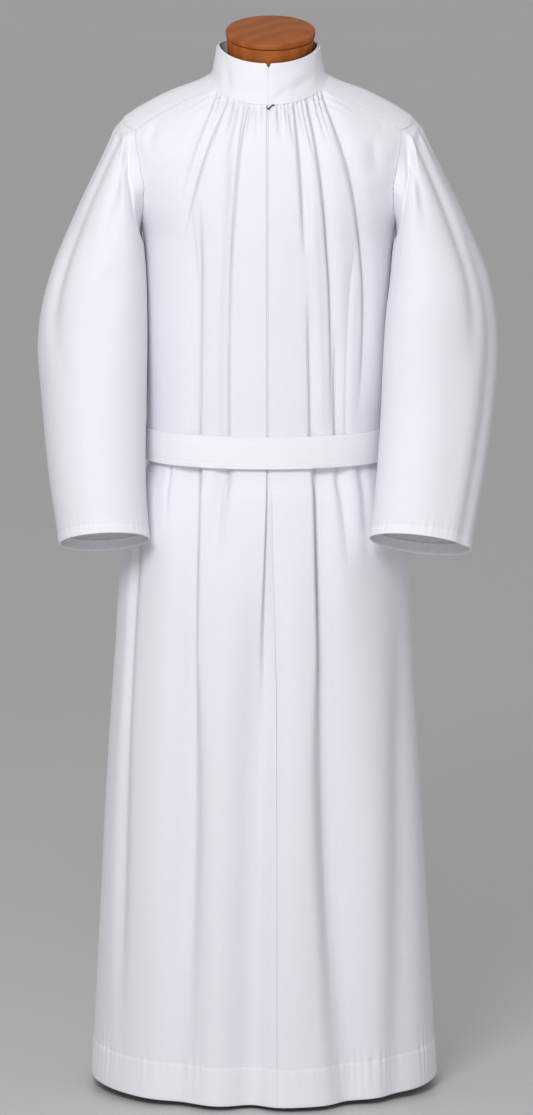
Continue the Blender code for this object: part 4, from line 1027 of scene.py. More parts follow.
def soft_crumple_group() -> bpy.types.NodeTree:
    """The faint dents of pressed cloth and the slight unevenness of its whiteness."""
    tree, wire, given, result = new_group(
        "soft_crumple",
        {"Vector": ("NodeSocketVector", None), "Scale": ("NodeSocketFloat", 14.0)},
        {"Height": "NodeSocketFloat", "Tone": "NodeSocketFloat"},
    )
    broad = wire.add("TexNoise", {"Vector": given.outputs["Vector"], "Scale": given.outputs["Scale"], "Detail": 3.0, "Roughness": 0.45})
    fine_scale = wire.math("MULTIPLY", given.outputs["Scale"], 6.0)
    fine = wire.add("TexNoise", {"Vector": given.outputs["Vector"], "Scale": fine_scale, "Detail": 2.0, "Roughness": 0.5})
    height = wire.math("ADD", broad.outputs[0], wire.math("MULTIPLY", fine.outputs[0], 0.2))
    wire.tree.links.new(height, result.inputs["Height"])
    wire.tree.links.new(fine.outputs[0], result.inputs["Tone"])
    return tree


def wood_grain_group() -> bpy.types.NodeTree:
    """Fine straight grain with wavy bands, along the X of its vector."""
    tree, wire, given, result = new_group(
        "wood_grain",
        {"Vector": ("NodeSocketVector", None), "Bands": ("NodeSocketFloat", 90.0), "Waviness": ("NodeSocketFloat", 3.0)},
        {"Grain": "NodeSocketFloat", "Pores": "NodeSocketFloat"},
    )
    bands = wire.add("TexWave", {"Vector": given.outputs["Vector"], "Scale": given.outputs["Bands"], "Distortion": given.outputs["Waviness"],
                                 "Detail": 3.0, "Detail Scale": 1.2, "Detail Roughness": 0.55}, wave_type="BANDS", bands_direction="Y")
    long = wire.add("Mapping", {"Vector": given.outputs["Vector"], "Scale": (60.0, 1500.0, 700.0)})
    pores = wire.add("TexNoise", {"Vector": long.outputs[0], "Scale": 1.0, "Detail": 3.0, "Roughness": 0.6})
    wire.tree.links.new(bands.outputs[1], result.inputs["Grain"])
    wire.tree.links.new(pores.outputs[0], result.inputs["Pores"])
    return tree


def new_material(name: str) -> tuple[bpy.types.Material, Wiring, bpy.types.Node]:
    """A material with an empty Principled BSDF, its wiring and that shader."""
    made = bpy.data.materials.new(name)
    made.use_nodes = True
    wire = Wiring(made.node_tree)
    return made, wire, made.node_tree.nodes["Principled BSDF"]


@dataclass(frozen=True)
class ClothFinish:
    """White poly-cotton: a fine plain weave, matt with a soft sheen, with painted shade darkening its creases."""

    name: str
    light: tuple[float, float, float, float] = (0.830, 0.830, 0.890, 1.0)
    dark: tuple[float, float, float, float] = (0.790, 0.790, 0.850, 1.0)
    dense: tuple[float, float, float, float] = (0.900, 0.900, 0.945, 1.0)
    density: float = 0.45
    pucker_depth: float = 0.0011
    threads: float = 2200.0
    roughness: float = 0.86
    weave_depth: float = 0.00007
    crumple_depth: float = 0.0006
    crumple_scale: float = 14.0
    # How far the colour is pulled toward near-black deep in a crease: painted shade, where little light reaches.
    crease_shade: float = 0.34

    def make(self, weave: bpy.types.NodeTree, crumple: bpy.types.NodeTree) -> bpy.types.Material:
        """Builds the material from the shared weave and crumple groups."""
        made, wire, shader = new_material(self.name)
        threads = wire.add("UVMap", uv_map="threads")
        place = wire.add("TexCoord")
        woven = wire.add("Group", {}, node_tree=weave)
        wire.tree.links.new(threads.outputs[0], woven.inputs["Vector"])
        woven.inputs["Threads"].default_value = self.threads
        pressed = wire.add("Group", {}, node_tree=crumple)
        wire.tree.links.new(place.outputs["Object"], pressed.inputs["Vector"])
        pressed.inputs["Scale"].default_value = self.crumple_scale
        tone = wire.math("MULTIPLY_ADD", woven.outputs["Slub"], 0.9)
        tone.node.inputs[2].default_value = -0.10
        tone.node.use_clamp = True
        shade = wire.math("MULTIPLY", wire.math("ADD", tone, pressed.outputs["Tone"]), 0.5)
        layers = wire.add("Attribute", attribute_name="doubled")
        single = wire.mix(shade, self.dark, self.light)
        whole = wire.mix(wire.math("MULTIPLY", layers.outputs["Fac"], self.density), single, self.dense)
        # Painted shade: the crease mask mixes the base colour toward near-black in the folds' creases.
        creases = wire.add("Attribute", attribute_name="painted_crease_shade")
        shaded = wire.mix(wire.math("MULTIPLY", creases.outputs["Fac"], self.crease_shade), whole, (0.10, 0.10, 0.12, 1.0))
        wire.tree.links.new(shaded, shader.inputs["Base Color"])
        shader.inputs["Roughness"].default_value = self.roughness
        shader.inputs["Sheen Weight"].default_value = 0.12
        shader.inputs["Sheen Roughness"].default_value = 0.5
        shader.inputs["Specular IOR Level"].default_value = 0.25
        long = wire.add("Mapping", {"Vector": threads.outputs[0], "Scale": (150.0, 14.0, 1.0)})
        waves = wire.add("TexNoise", {"Vector": long.outputs[0], "Scale": 1.0, "Detail": 1.0, "Roughness": 0.4})
        beside = wire.add("Attribute", attribute_name="puckered")
        gathered = wire.math("MULTIPLY", waves.outputs[0], beside.outputs["Fac"])
        small = wire.add("Bump", {"Height": gathered, "Distance": self.pucker_depth, "Strength": 1.0})
        dents = wire.add("Bump", {"Height": pressed.outputs["Height"], "Distance": self.crumple_depth, "Strength": 1.0,
                                  "Normal": small.outputs[0]})
        weave_bump = wire.add("Bump", {"Height": woven.outputs["Height"], "Distance": self.weave_depth, "Strength": 0.8,
                                       "Normal": dents.outputs[0]})
        wire.tree.links.new(weave_bump.outputs[0], shader.inputs["Normal"])
        return made


@dataclass(frozen=True)
class ThreadFinish:
    """The white sewing thread, a little shinier than the cloth."""

    name: str = "sewing_thread"
    colour: tuple[float, float, float, float] = (0.90, 0.90, 0.92, 1.0)
    roughness: float = 0.55

    def make(self) -> bpy.types.Material:
        """Builds the material, with the thread's twist as fine slanted ridges."""
        made, wire, shader = new_material(self.name)
        place = wire.add("TexCoord")
        twist = wire.add("TexWave", {"Vector": place.outputs["Object"], "Scale": 900.0, "Distortion": 1.0},
                         wave_type="BANDS", bands_direction="DIAGONAL")
        dark = tuple(c * 0.93 for c in self.colour[:3]) + (1.0,)
        wire.tree.links.new(wire.mix(twist.outputs[1], dark, self.colour), shader.inputs["Base Color"])
        shader.inputs["Roughness"].default_value = self.roughness
        bump = wire.add("Bump", {"Height": twist.outputs[1], "Distance": 0.00004, "Strength": 0.6})
        wire.tree.links.new(bump.outputs[0], shader.inputs["Normal"])
        return made


@dataclass(frozen=True)
class WoodFinish:
    """Warm reddish wood with a satin lacquer."""

    name: str
    light: tuple[float, float, float, float] = (0.43, 0.130, 0.032, 1.0)
    dark: tuple[float, float, float, float] = (0.27, 0.066, 0.012, 1.0)
    turn: tuple[float, float, float] = (0.0, 0.0, 0.0)
    bands: float = 22.0
    waviness: float = 3.0

    def make(self, grain: bpy.types.NodeTree) -> bpy.types.Material:
        """Builds the material from the shared wood grain group."""
        made, wire, shader = new_material(self.name)
        place = wire.add("TexCoord")
        turned = wire.add("Mapping", {"Vector": place.outputs["Object"], "Rotation": self.turn})
        cut = wire.add("Group", {}, node_tree=grain)
        wire.tree.links.new(turned.outputs[0], cut.inputs["Vector"])
        cut.inputs["Bands"].default_value = self.bands
        cut.inputs["Waviness"].default_value = self.waviness
        share = wire.math("ADD", wire.math("MULTIPLY", cut.outputs["Grain"], 0.45),
                          wire.math("MULTIPLY", cut.outputs["Pores"], 0.55), clamp=True)
        wire.tree.links.new(wire.mix(share, self.dark, self.light), shader.inputs["Base Color"])
        rough = wire.math("MULTIPLY_ADD", cut.outputs["Pores"], 0.16)
        rough.node.inputs[2].default_value = 0.38
        wire.tree.links.new(rough, shader.inputs["Roughness"])
        shader.inputs["Specular IOR Level"].default_value = 0.15
        bump = wire.add("Bump", {"Height": cut.outputs["Pores"], "Distance": 0.00008, "Strength": 0.5})
        wire.tree.links.new(bump.outputs[0], shader.inputs["Normal"])
        return made


@dataclass(frozen=True)
class MetalFinish:
    """A metal or painted metal with small scratches and wear."""

    name: str
    colour: tuple[float, float, float, float]
    worn: tuple[float, float, float, float]
    roughness: float
    metallic: float
    scale: float = 260.0

    def make(self) -> bpy.types.Material:
        """Builds the material."""
        made, wire, shader = new_material(self.name)
        place = wire.add("TexCoord")
        specks = wire.add("TexNoise", {"Vector": place.outputs["Object"], "Scale": self.scale, "Detail": 4.0, "Roughness": 0.6})
        share = wire.add("MapRange", {"Value": specks.outputs[0], "From Min": 0.45, "From Max": 0.72})
        wire.tree.links.new(wire.mix(share.outputs[0], self.colour, self.worn), shader.inputs["Base Color"])
        rough = wire.math("MULTIPLY_ADD", specks.outputs[0], 0.2)
        rough.node.inputs[2].default_value = self.roughness - 0.1
        wire.tree.links.new(rough, shader.inputs["Roughness"])
        shader.inputs["Metallic"].default_value = self.metallic
        bump = wire.add("Bump", {"Height": specks.outputs[0], "Distance": 0.00005, "Strength": 0.4})
        wire.tree.links.new(bump.outputs[0], shader.inputs["Normal"])
        return made


@dataclass(frozen=True)
class CoverFinish:
    """The form's natural linen cover."""

    name: str = "form_linen"
    light: tuple[float, float, float, float] = (0.74, 0.70, 0.61, 1.0)
    dark: tuple[float, float, float, float] = (0.60, 0.56, 0.47, 1.0)

    def make(self) -> bpy.types.Material:
        """Builds the material, a coarse weave on the object's own coordinates."""
        made, wire, shader = new_material(self.name)
        place = wire.add("TexCoord")
        warp = wire.add("TexWave", {"Vector": place.outputs["Object"], "Scale": 320.0, "Distortion": 0.6},
                        wave_type="BANDS", bands_direction="X")
        weft = wire.add("TexWave", {"Vector": place.outputs["Object"], "Scale": 320.0, "Distortion": 0.6},
                        wave_type="BANDS", bands_direction="Z")
        cross = wire.math("MULTIPLY", wire.math("ADD", warp.outputs[1], weft.outputs[1]), 0.5)
        wire.tree.links.new(wire.mix(cross, self.dark, self.light), shader.inputs["Base Color"])
        shader.inputs["Roughness"].default_value = 0.9
        bump = wire.add("Bump", {"Height": cross, "Distance": 0.0002, "Strength": 0.6})
        wire.tree.links.new(bump.outputs[0], shader.inputs["Normal"])
        return made


@dataclass
class Finishes:
    """Every material of the alb and its form, made once."""

    cloth: bpy.types.Material
    band: bpy.types.Material
    thread: bpy.types.Material
    cap_wood: bpy.types.Material
    neck_wood: bpy.types.Material
    hook: bpy.types.Material
    steel: bpy.types.Material
    iron: bpy.types.Material
    cover: bpy.types.Material

    @classmethod
    def make(cls) -> "Finishes":
        """Builds the shared node groups and the materials."""
        weave, crumple, grain = plain_weave_group(), soft_crumple_group(), wood_grain_group()
        return cls(
            cloth=ClothFinish("alb_cloth").make(weave, crumple),
            band=ClothFinish("alb_band_cloth", light=(0.885, 0.885, 0.935, 1.0), dark=(0.850, 0.850, 0.900, 1.0),
                             crumple_depth=0.0003, crumple_scale=30.0).make(weave, crumple),
            thread=ThreadFinish().make(),
            cap_wood=WoodFinish("cap_wood", turn=(0.0, 0.0, math.radians(-38.0)), bands=9.0, waviness=9.0).make(grain),
            neck_wood=WoodFinish("neck_wood", turn=(0.0, math.radians(90.0), 0.0)).make(grain),
            hook=MetalFinish("hook_metal", (0.055, 0.052, 0.056, 1.0), (0.16, 0.155, 0.16, 1.0), 0.38, 0.9, 900.0).make(),
            steel=MetalFinish("pole_steel", (0.50, 0.50, 0.52, 1.0), (0.62, 0.62, 0.63, 1.0), 0.30, 1.0).make(),
            iron=MetalFinish("base_iron", (0.045, 0.045, 0.048, 1.0), (0.075, 0.075, 0.08, 1.0), 0.50, 0.5).make(),
            cover=CoverFinish().make(),
        )


def settle(piece: bpy.types.Object, material: bpy.types.Material, slot: str, *nodes: str) -> bpy.types.Object:
    """Gives a piece its material, and lets it ride on the form in place of its CAD nodes.

    Args:
        piece: The new object, in its place.
        material: Its finish.
        slot: The record's material slot; not used.
        nodes: The CAD nodes that it stands for.

    Returns:
        The same piece.
    """
    piece.data.materials.clear()
    piece.data.materials.append(material)
    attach(piece, ROOT)
    if nodes:
        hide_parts(*nodes)
    half_area = sum(face.area for face in piece.data.polygons) / 2
    LOG.info("%s: %d faces, %.4f square metres a side", piece.name, len(piece.data.polygons), half_area)
    return piece


def sewn_on(stitching: Stitching, finishes: Finishes) -> bpy.types.Object:
    """Sews a piece's stitches and gives them their thread."""
    return settle(stitching.sew(), finishes.thread, CLOTH_SLOT)


def row_marks(line: float, scale: float, reach: float) -> dict[str, Surface]:
    """The finish's marks beside a hem's stitches.

    Args:
        line: Where the stitches are, in values of down.
        scale: The part of down in one metre of cloth.
        reach: How far the puckers reach into the hem, in metres.
    """

    def doubled(_: Array, down: Array) -> Array:
        return smoothstep(line - 0.0006 * scale, line + 0.0006 * scale, down)

    def puckered(_: Array, down: Array) -> Array:
        off = (down - line) / scale
        return np.exp(-abs(off) / np.where(off > 0, reach, 0.4 * reach))

    return {"doubled": doubled, "puckered": puckered}


HEM_MARKS = row_marks(V_HEM - HEM_STITCH, 1.0, 0.020)


@dataclass
class FrontPanel:
    """One front of the alb, from the centre front to the yoke, armhole and side seam."""

    form: RobeForm
    side: Side
    flat: tuple[float, float]
    area: float
    columns: int = 172

    def surface(self, s: Array, down: Array) -> Array:
        """The panel's outer surface, with its turned hem."""
        v, inside = turned_in(down, V_HEM_TURN, 1.0)
        angle, v, lift = self.form.front_net(self.side)(s, v)
        return self.form.surface(angle, v, lift - inside)

    def painted_crease_shade(self, s: Array, down: Array) -> Array:
        """The mask of painted shade that darkens the cloth's colour in the folds' sharp creases."""
        v, _ = turned_in(down, V_HEM_TURN, 1.0)
        angle, v, _ = self.form.front_net(self.side)(s, v)
        return self.form.fold_parts(angle, v)[1]

    def down(self) -> Array:
        """The grid's rows: close at the neck, the belt and the hem's stitches."""
        hem_line = V_HEM - HEM_STITCH
        body = spread(
            (0.0, 0), (0.030, 14), (V_YOKE, 32), (V_ARMPIT, 38), (0.530, 36), (V_BELT_TOP, 10),
            (V_BELT_BOTTOM - 0.004, 8), (V_BELT_BOTTOM + 0.02, 14), (0.80, 24),
            (hem_line - 0.012, 30), (hem_line + 0.012, 12), (V_HEM_TURN, 10),
        )
        return np.concatenate([body, hem_rows(V_HEM_TURN, 1.0, HEM_DEPTH, 6)])

    def across(self) -> Array:
        """The grid's columns, with the strip that lies under the other front."""
        own = spread((0.0, 0), (0.97, self.columns), (1.0, 6))
        if self.side is Side.RIGHT:
            return own
        share = -self.form.turn_share
        step = -self.form.step_share
        strip = spread((-1.0, 0), (1.125 * step, 4), (step, 3), (share, 6), (0.0, 6))
        return np.concatenate([strip[:-1], own])

    def build(self, finishes: Finishes) -> bpy.types.Object:
        """Lays the panel and sews its hem and armhole."""
        name = f"front_panel_{self.side.word}"
        # The crease mark is a mask of painted shade for the cloth's finish.
        marks = {**HEM_MARKS, "painted_crease_shade": self.painted_crease_shade}
        sheet = Sheet(f"alb_front_{self.side.word}", self.across(), self.down(), self.surface, marks=marks)
        piece = settle(sheet.lay(), finishes.cloth, CLOTH_SLOT, name)
        rows = [self.hem_row(), *self.armhole_rows()]
        stitches = sewn_on(Stitching(f"front_{self.side.word}_stitches", sheet.core, rows), finishes)
        return piece

    def hem_row(self) -> StitchRow:
        """The hem's row of stitches."""
        s = np.linspace(0.004 if self.side is Side.RIGHT else -0.25, 0.997, 240)
        return StitchRow(self.surface, s, np.full(240, V_HEM - HEM_STITCH))

    def armhole_rows(self) -> list[StitchRow]:
        """The two rows along the armhole."""
        return armhole_rows(self.form, self.side, False)


def armhole_rows(form: RobeForm, side: Side, behind: bool) -> list[StitchRow]:
    """The two rows of stitches along one half of an armhole, on the front or the back panel."""
    v = np.linspace(V_YOKE + 0.004, V_ARMPIT - 0.012, 120)
    rows = []
    for inset in (0.0013, 0.0046):
        angle = form.edge_angle(v)
        for _ in range(3):
            angle = angle - np.degrees((inset - form.edge_distance(angle, v)) / (form.read("half_width", v) * 0.75))
        turned = (180.0 - angle if behind else angle) * side.value
        rows.append(StitchRow(form.surface, turned, v, pitch=0.0026))
    return rows


@dataclass
class BackPanel:
    """The back of the alb, in one piece between the side seams."""

    form: RobeForm
    flat: tuple[float, float]
    area: float

    def surface(self, s: Array, down: Array) -> Array:
        """The panel's outer surface, with its turned hem."""
        v, inside = turned_in(down, V_HEM_TURN, 1.0)
        angle = 180.0 - s * (self.form.edge_angle(v) - self.form.side_trim(v))
        return self.form.surface(angle, v, -inside)

    def build(self, finishes: Finishes) -> bpy.types.Object:
        """Lays the back and sews its hem and armholes."""
        hem_line = V_HEM - HEM_STITCH
        body = spread(
            (0.0, 0), (0.030, 12), (V_YOKE, 20), (V_ARMPIT, 24), (0.530, 22), (V_BELT_BOTTOM + 0.03, 18),
            (0.80, 12), (hem_line - 0.012, 24), (hem_line + 0.012, 10), (V_HEM_TURN, 8),
        )
        down = np.concatenate([body, hem_rows(V_HEM_TURN, 1.0, HEM_DEPTH, 5)])
        across = spread((-1.0, 0), (-0.97, 5), (0.97, 190), (1.0, 5))
        sheet = Sheet("alb_back", across, down, self.surface, marks=HEM_MARKS)
        piece = settle(sheet.lay(), finishes.cloth, CLOTH_SLOT, "back_panel")
        s = np.linspace(-0.997, 0.997, 420)
        rows = [StitchRow(self.surface, s, np.full(420, hem_line))]
        for side in Side:
            rows += armhole_rows(self.form, side, True)
        stitches = sewn_on(Stitching("back_stitches", sheet.core, rows), finishes)
        return piece


@dataclass
class Yoke:
    """A shoulder yoke, with the felled strip along its front seam."""

    form: RobeForm
    side: Side
    flat: tuple[float, float]
    area: float
    strip_flat: tuple[float, float]
    margin: float = 0.0022
    strip_start: float = 0.010
    strip_end: float = 0.14
    strip_wall: float = 0.0008
    strip_lift: float = 0.0003

    def surface(self, p: Array, q: Array) -> Array:
        """The yoke's outer surface."""
        angle, v = self.form.yoke_net(self.side, p, q)
        return self.form.surface(angle, v)

    def strip_surface(self, p: Array, q: Array) -> Array:
        """The strip's outer surface, a little above the yoke."""
        angle, v = self.form.yoke_net(self.side, p, q)
        run = p * 0.13
        off = np.minimum(abs(q - self.strip_start), abs(q - self.strip_end)) * 0.15
        wave = 0.00018 * puckers(run, off, 0.009, 0.004)
        return self.form.surface(angle, v, self.strip_lift + self.strip_wall + wave)

    def build(self, finishes: Finishes) -> bpy.types.Object:
        """Lays the yoke and its strip, and sews the strip's two edges."""
        word = self.side.word
        lines = spread((self.margin, 0), (0.16, 14), (0.84, 26), (1 - self.margin, 14))
        sheet = Sheet(f"alb_yoke_{word}", np.linspace(0.0, 1.0, 56), lines, self.surface)
        piece = settle(sheet.lay(), finishes.cloth, CLOTH_SLOT, f"yoke_{word}")
        band_lines = np.linspace(self.strip_start, self.strip_end, 9)
        band = Sheet(f"alb_yoke_strip_{word}", np.linspace(0.03, 0.985, 70), band_lines, self.strip_surface,
                     wall=self.strip_wall, edge=0.0002)
        strip = settle(band.lay(), finishes.cloth, CLOTH_SLOT, f"yoke_band_{word}")
        p = np.linspace(0.035, 0.98, 90)
        edge = 0.012
        rows = [StitchRow(self.strip_surface, p, np.full(90, q), pitch=0.0026)
                for q in (self.strip_start + edge, self.strip_end - edge)]
        back = [StitchRow(self.surface, p, np.full(90, 1 - self.margin - edge), pitch=0.0026)]
        stitches = sewn_on(Stitching(f"yoke_{word}_stitches", sheet.core, rows + back), finishes)
        return piece


@dataclass
class SleevePiece:
    """A set-in sleeve, open at the armhole and the cuff."""

    form: RobeForm
    side: Side
    flat: tuple[float, float]
    area: float
    pace: float = 0.93
    lip: float = 0.0045
    seam_gap: float = 0.0003
    head_rise: float = 0.0006
    lip_spread: float = 0.3

    def ring(self, row: SleeveRing, turn: Array) -> Array:
        """A section's points: 0 is its outer point and 90 is near the front."""
        half_turn = np.radians(turn)
        outer = np.array([row.x_outer * self.side.value, row.y_outer, row.z_outer])
        inner = np.array([row.x_inner * self.side.value, row.y_inner, row.z_inner])
        pitch = math.radians(row.pitch)
        front = np.array([0.0, -math.cos(pitch), math.sin(pitch)]) * row.half_depth
        return (
            (outer + inner) / 2
            + np.cos(half_turn)[..., None] * (outer - inner) / 2
            + np.sin(half_turn)[..., None] * front
        )

    def knots(self, turn: Array) -> tuple[list[Array], list[float]]:
        """The points that each line down the sleeve passes through, and their places."""
        rows = SLEEVE_RINGS[self.side]
        turn = np.asarray(turn, float) % 360.0
        angle, v = self.form.armhole(self.side, turn)
        start = self.form.base(angle, v)
        normal = self.form.normal(angle, v)
        whole_angle, whole_v = self.form.armhole(self.side, np.linspace(0.0, 359.0, 120))
        centre = self.form.base(whole_angle, whole_v).mean(axis=0)
        outward = unit(start - centre)
        leave = unit(self.ring(rows[0], turn) - start)
        along_body = unit(np.cross(normal, np.cross(outward, normal))) * -1.0
        along_body = along_body - (along_body * normal).sum(-1, keepdims=True) * normal
        agree = smoothstep(-0.1, 0.5, (along_body * leave).sum(-1))[..., None]
        spread_out = np.array([self.side.value * self.lip_spread, 0.0, 0.0])
        away = unit(along_body * agree + leave * (1 - agree) + spread_out)
        under = start + along_body * self.seam_gap + normal * self.head_rise
        points = [under, start + away * self.lip + normal * self.head_rise * 1.6]
        spots = [0.0, 0.02]
        for row in rows:
            points.append(self.ring(row, turn))
            spots.append(row.s)
        return points, spots

    def smooth_line(self, points: list[Array], spots: list[float], s: Array) -> Array:
        """A smooth curve through the points, read at s."""
        step = np.diff(spots)
        slope = [(b - a) / h for a, b, h in zip(points, points[1:], step)]
        tangent = [slope[0]]
        for k in range(len(step) - 1):
            weight = step[k + 1] / (step[k] + step[k + 1])
            tangent.append(slope[k] * weight + slope[k + 1] * (1 - weight))
        tangent.append(slope[-1])
        result = np.zeros(np.shape(s) + (3,))
        index = np.clip(np.searchsorted(spots, s, side="right") - 1, 0, len(step) - 1)
        for i, h in enumerate(step):
            t = ((s - spots[i]) / h)[..., None]
            part = (
                points[i] * (1 + 2 * t) * (1 - t) ** 2
                + tangent[i] * h * t * (1 - t) ** 2
                + points[i + 1] * t * t * (3 - 2 * t)
                + tangent[i + 1] * h * t * t * (t - 1)
            )
            result = np.where((index == i)[..., None], part, result)
        return result

    def relief(self, turn: Array, s: Array) -> Array:
        """The folds, the cuff's pressed stitches and the seam's small puckers."""
        out = np.zeros(np.shape(s))
        for fold in SLEEVE_FOLDS[self.side]:
            share = np.clip((s - fold.s_top) / (fold.s_end - fold.s_top), 0, 1)
            path = fold.angle_top + (fold.angle_end - fold.angle_top) * share
            off = (turn - path + 180.0) % 360.0 - 180.0
            fade = smoothstep(fold.s_top, fold.s_top + 0.12, s) * (1 - smoothstep(fold.s_end - 0.20, fold.s_end, s))
            out = out - fold.depth * fade * np.exp(-((off / fold.width) ** 2))
        off = (s - 1.0) * self.pace + CUFF_STITCH
        from_tip = np.radians(abs((turn + 180.0) % 360.0 - 180.0))
        wave = 0.0008 * puckers(from_tip * 0.070, off / np.where(off > 0, 0.012, 0.010), 0.008, 1.0)
        groove = -0.0005 * np.exp(-((off / 0.0014) ** 2))
        doubled = 0.0004 * smoothstep(-0.001, 0.002, off)
        top_off = s * self.pace
        top = 0.0006 * puckers(from_tip * 0.085, top_off, 0.008, 0.012) * smoothstep(0.004, 0.012, top_off)
        return out + wave + groove + doubled + top

    def surface(self, turn: Array, down: Array) -> Array:
        """The sleeve's outer surface, with its turned cuff."""
        turn, down = np.broadcast_arrays(np.asarray(turn, float), np.asarray(down, float))
        s, inside = turned_in(down, 1.0 - TURN_RADIUS / self.pace, self.pace)
        points, spots = self.knots(turn)
        net = self.smooth_line(points, spots, s)
        middle_points, _ = self.knots(np.array([0.0, 90.0, 180.0, 270.0]))
        middles = [p.mean(axis=0) for p in middle_points]
        middle = self.smooth_line([np.broadcast_to(m, net.shape) for m in middles], spots, s)
        return net + unit(net - middle) * (self.relief(turn, s) - inside)[..., None]

    def build(self, finishes: Finishes) -> bpy.types.Object:
        """Lays the sleeve round its tube and sews its cuff."""
        word = self.side.word
        end = 1.0 - TURN_RADIUS / self.pace
        line = 1.0 - CUFF_STITCH / self.pace
        body = spread((0.0, 0), (0.02, 6), (0.14, 22), (0.54, 42), (line - 0.012, 30), (line + 0.006, 8), (end, 6))
        down = np.concatenate([body, hem_rows(end, self.pace, CUFF_DEPTH, 4)])
        core = (0.255 * self.side.value, -0.040, 1.150)
        sheet = Sheet(f"alb_sleeve_{word}", np.linspace(180.0, 540.0, 221), down, self.surface, core=core, closed=True,
                      marks=row_marks(line, 1.0 / self.pace, 0.012))
        piece = settle(sheet.lay(), finishes.cloth, CLOTH_SLOT, f"sleeve_{word}")
        turn = np.linspace(0.0, 360.0, 241)
        rows = [StitchRow(self.surface, turn, np.full(241, line))]
        cuff_core = tuple(np.array([self.ring(SLEEVE_RINGS[self.side][-1], turn)]).reshape(-1, 3).mean(axis=0))
        stitches = sewn_on(Stitching(f"sleeve_{word}_stitches", cuff_core, rows), finishes)
        return piece


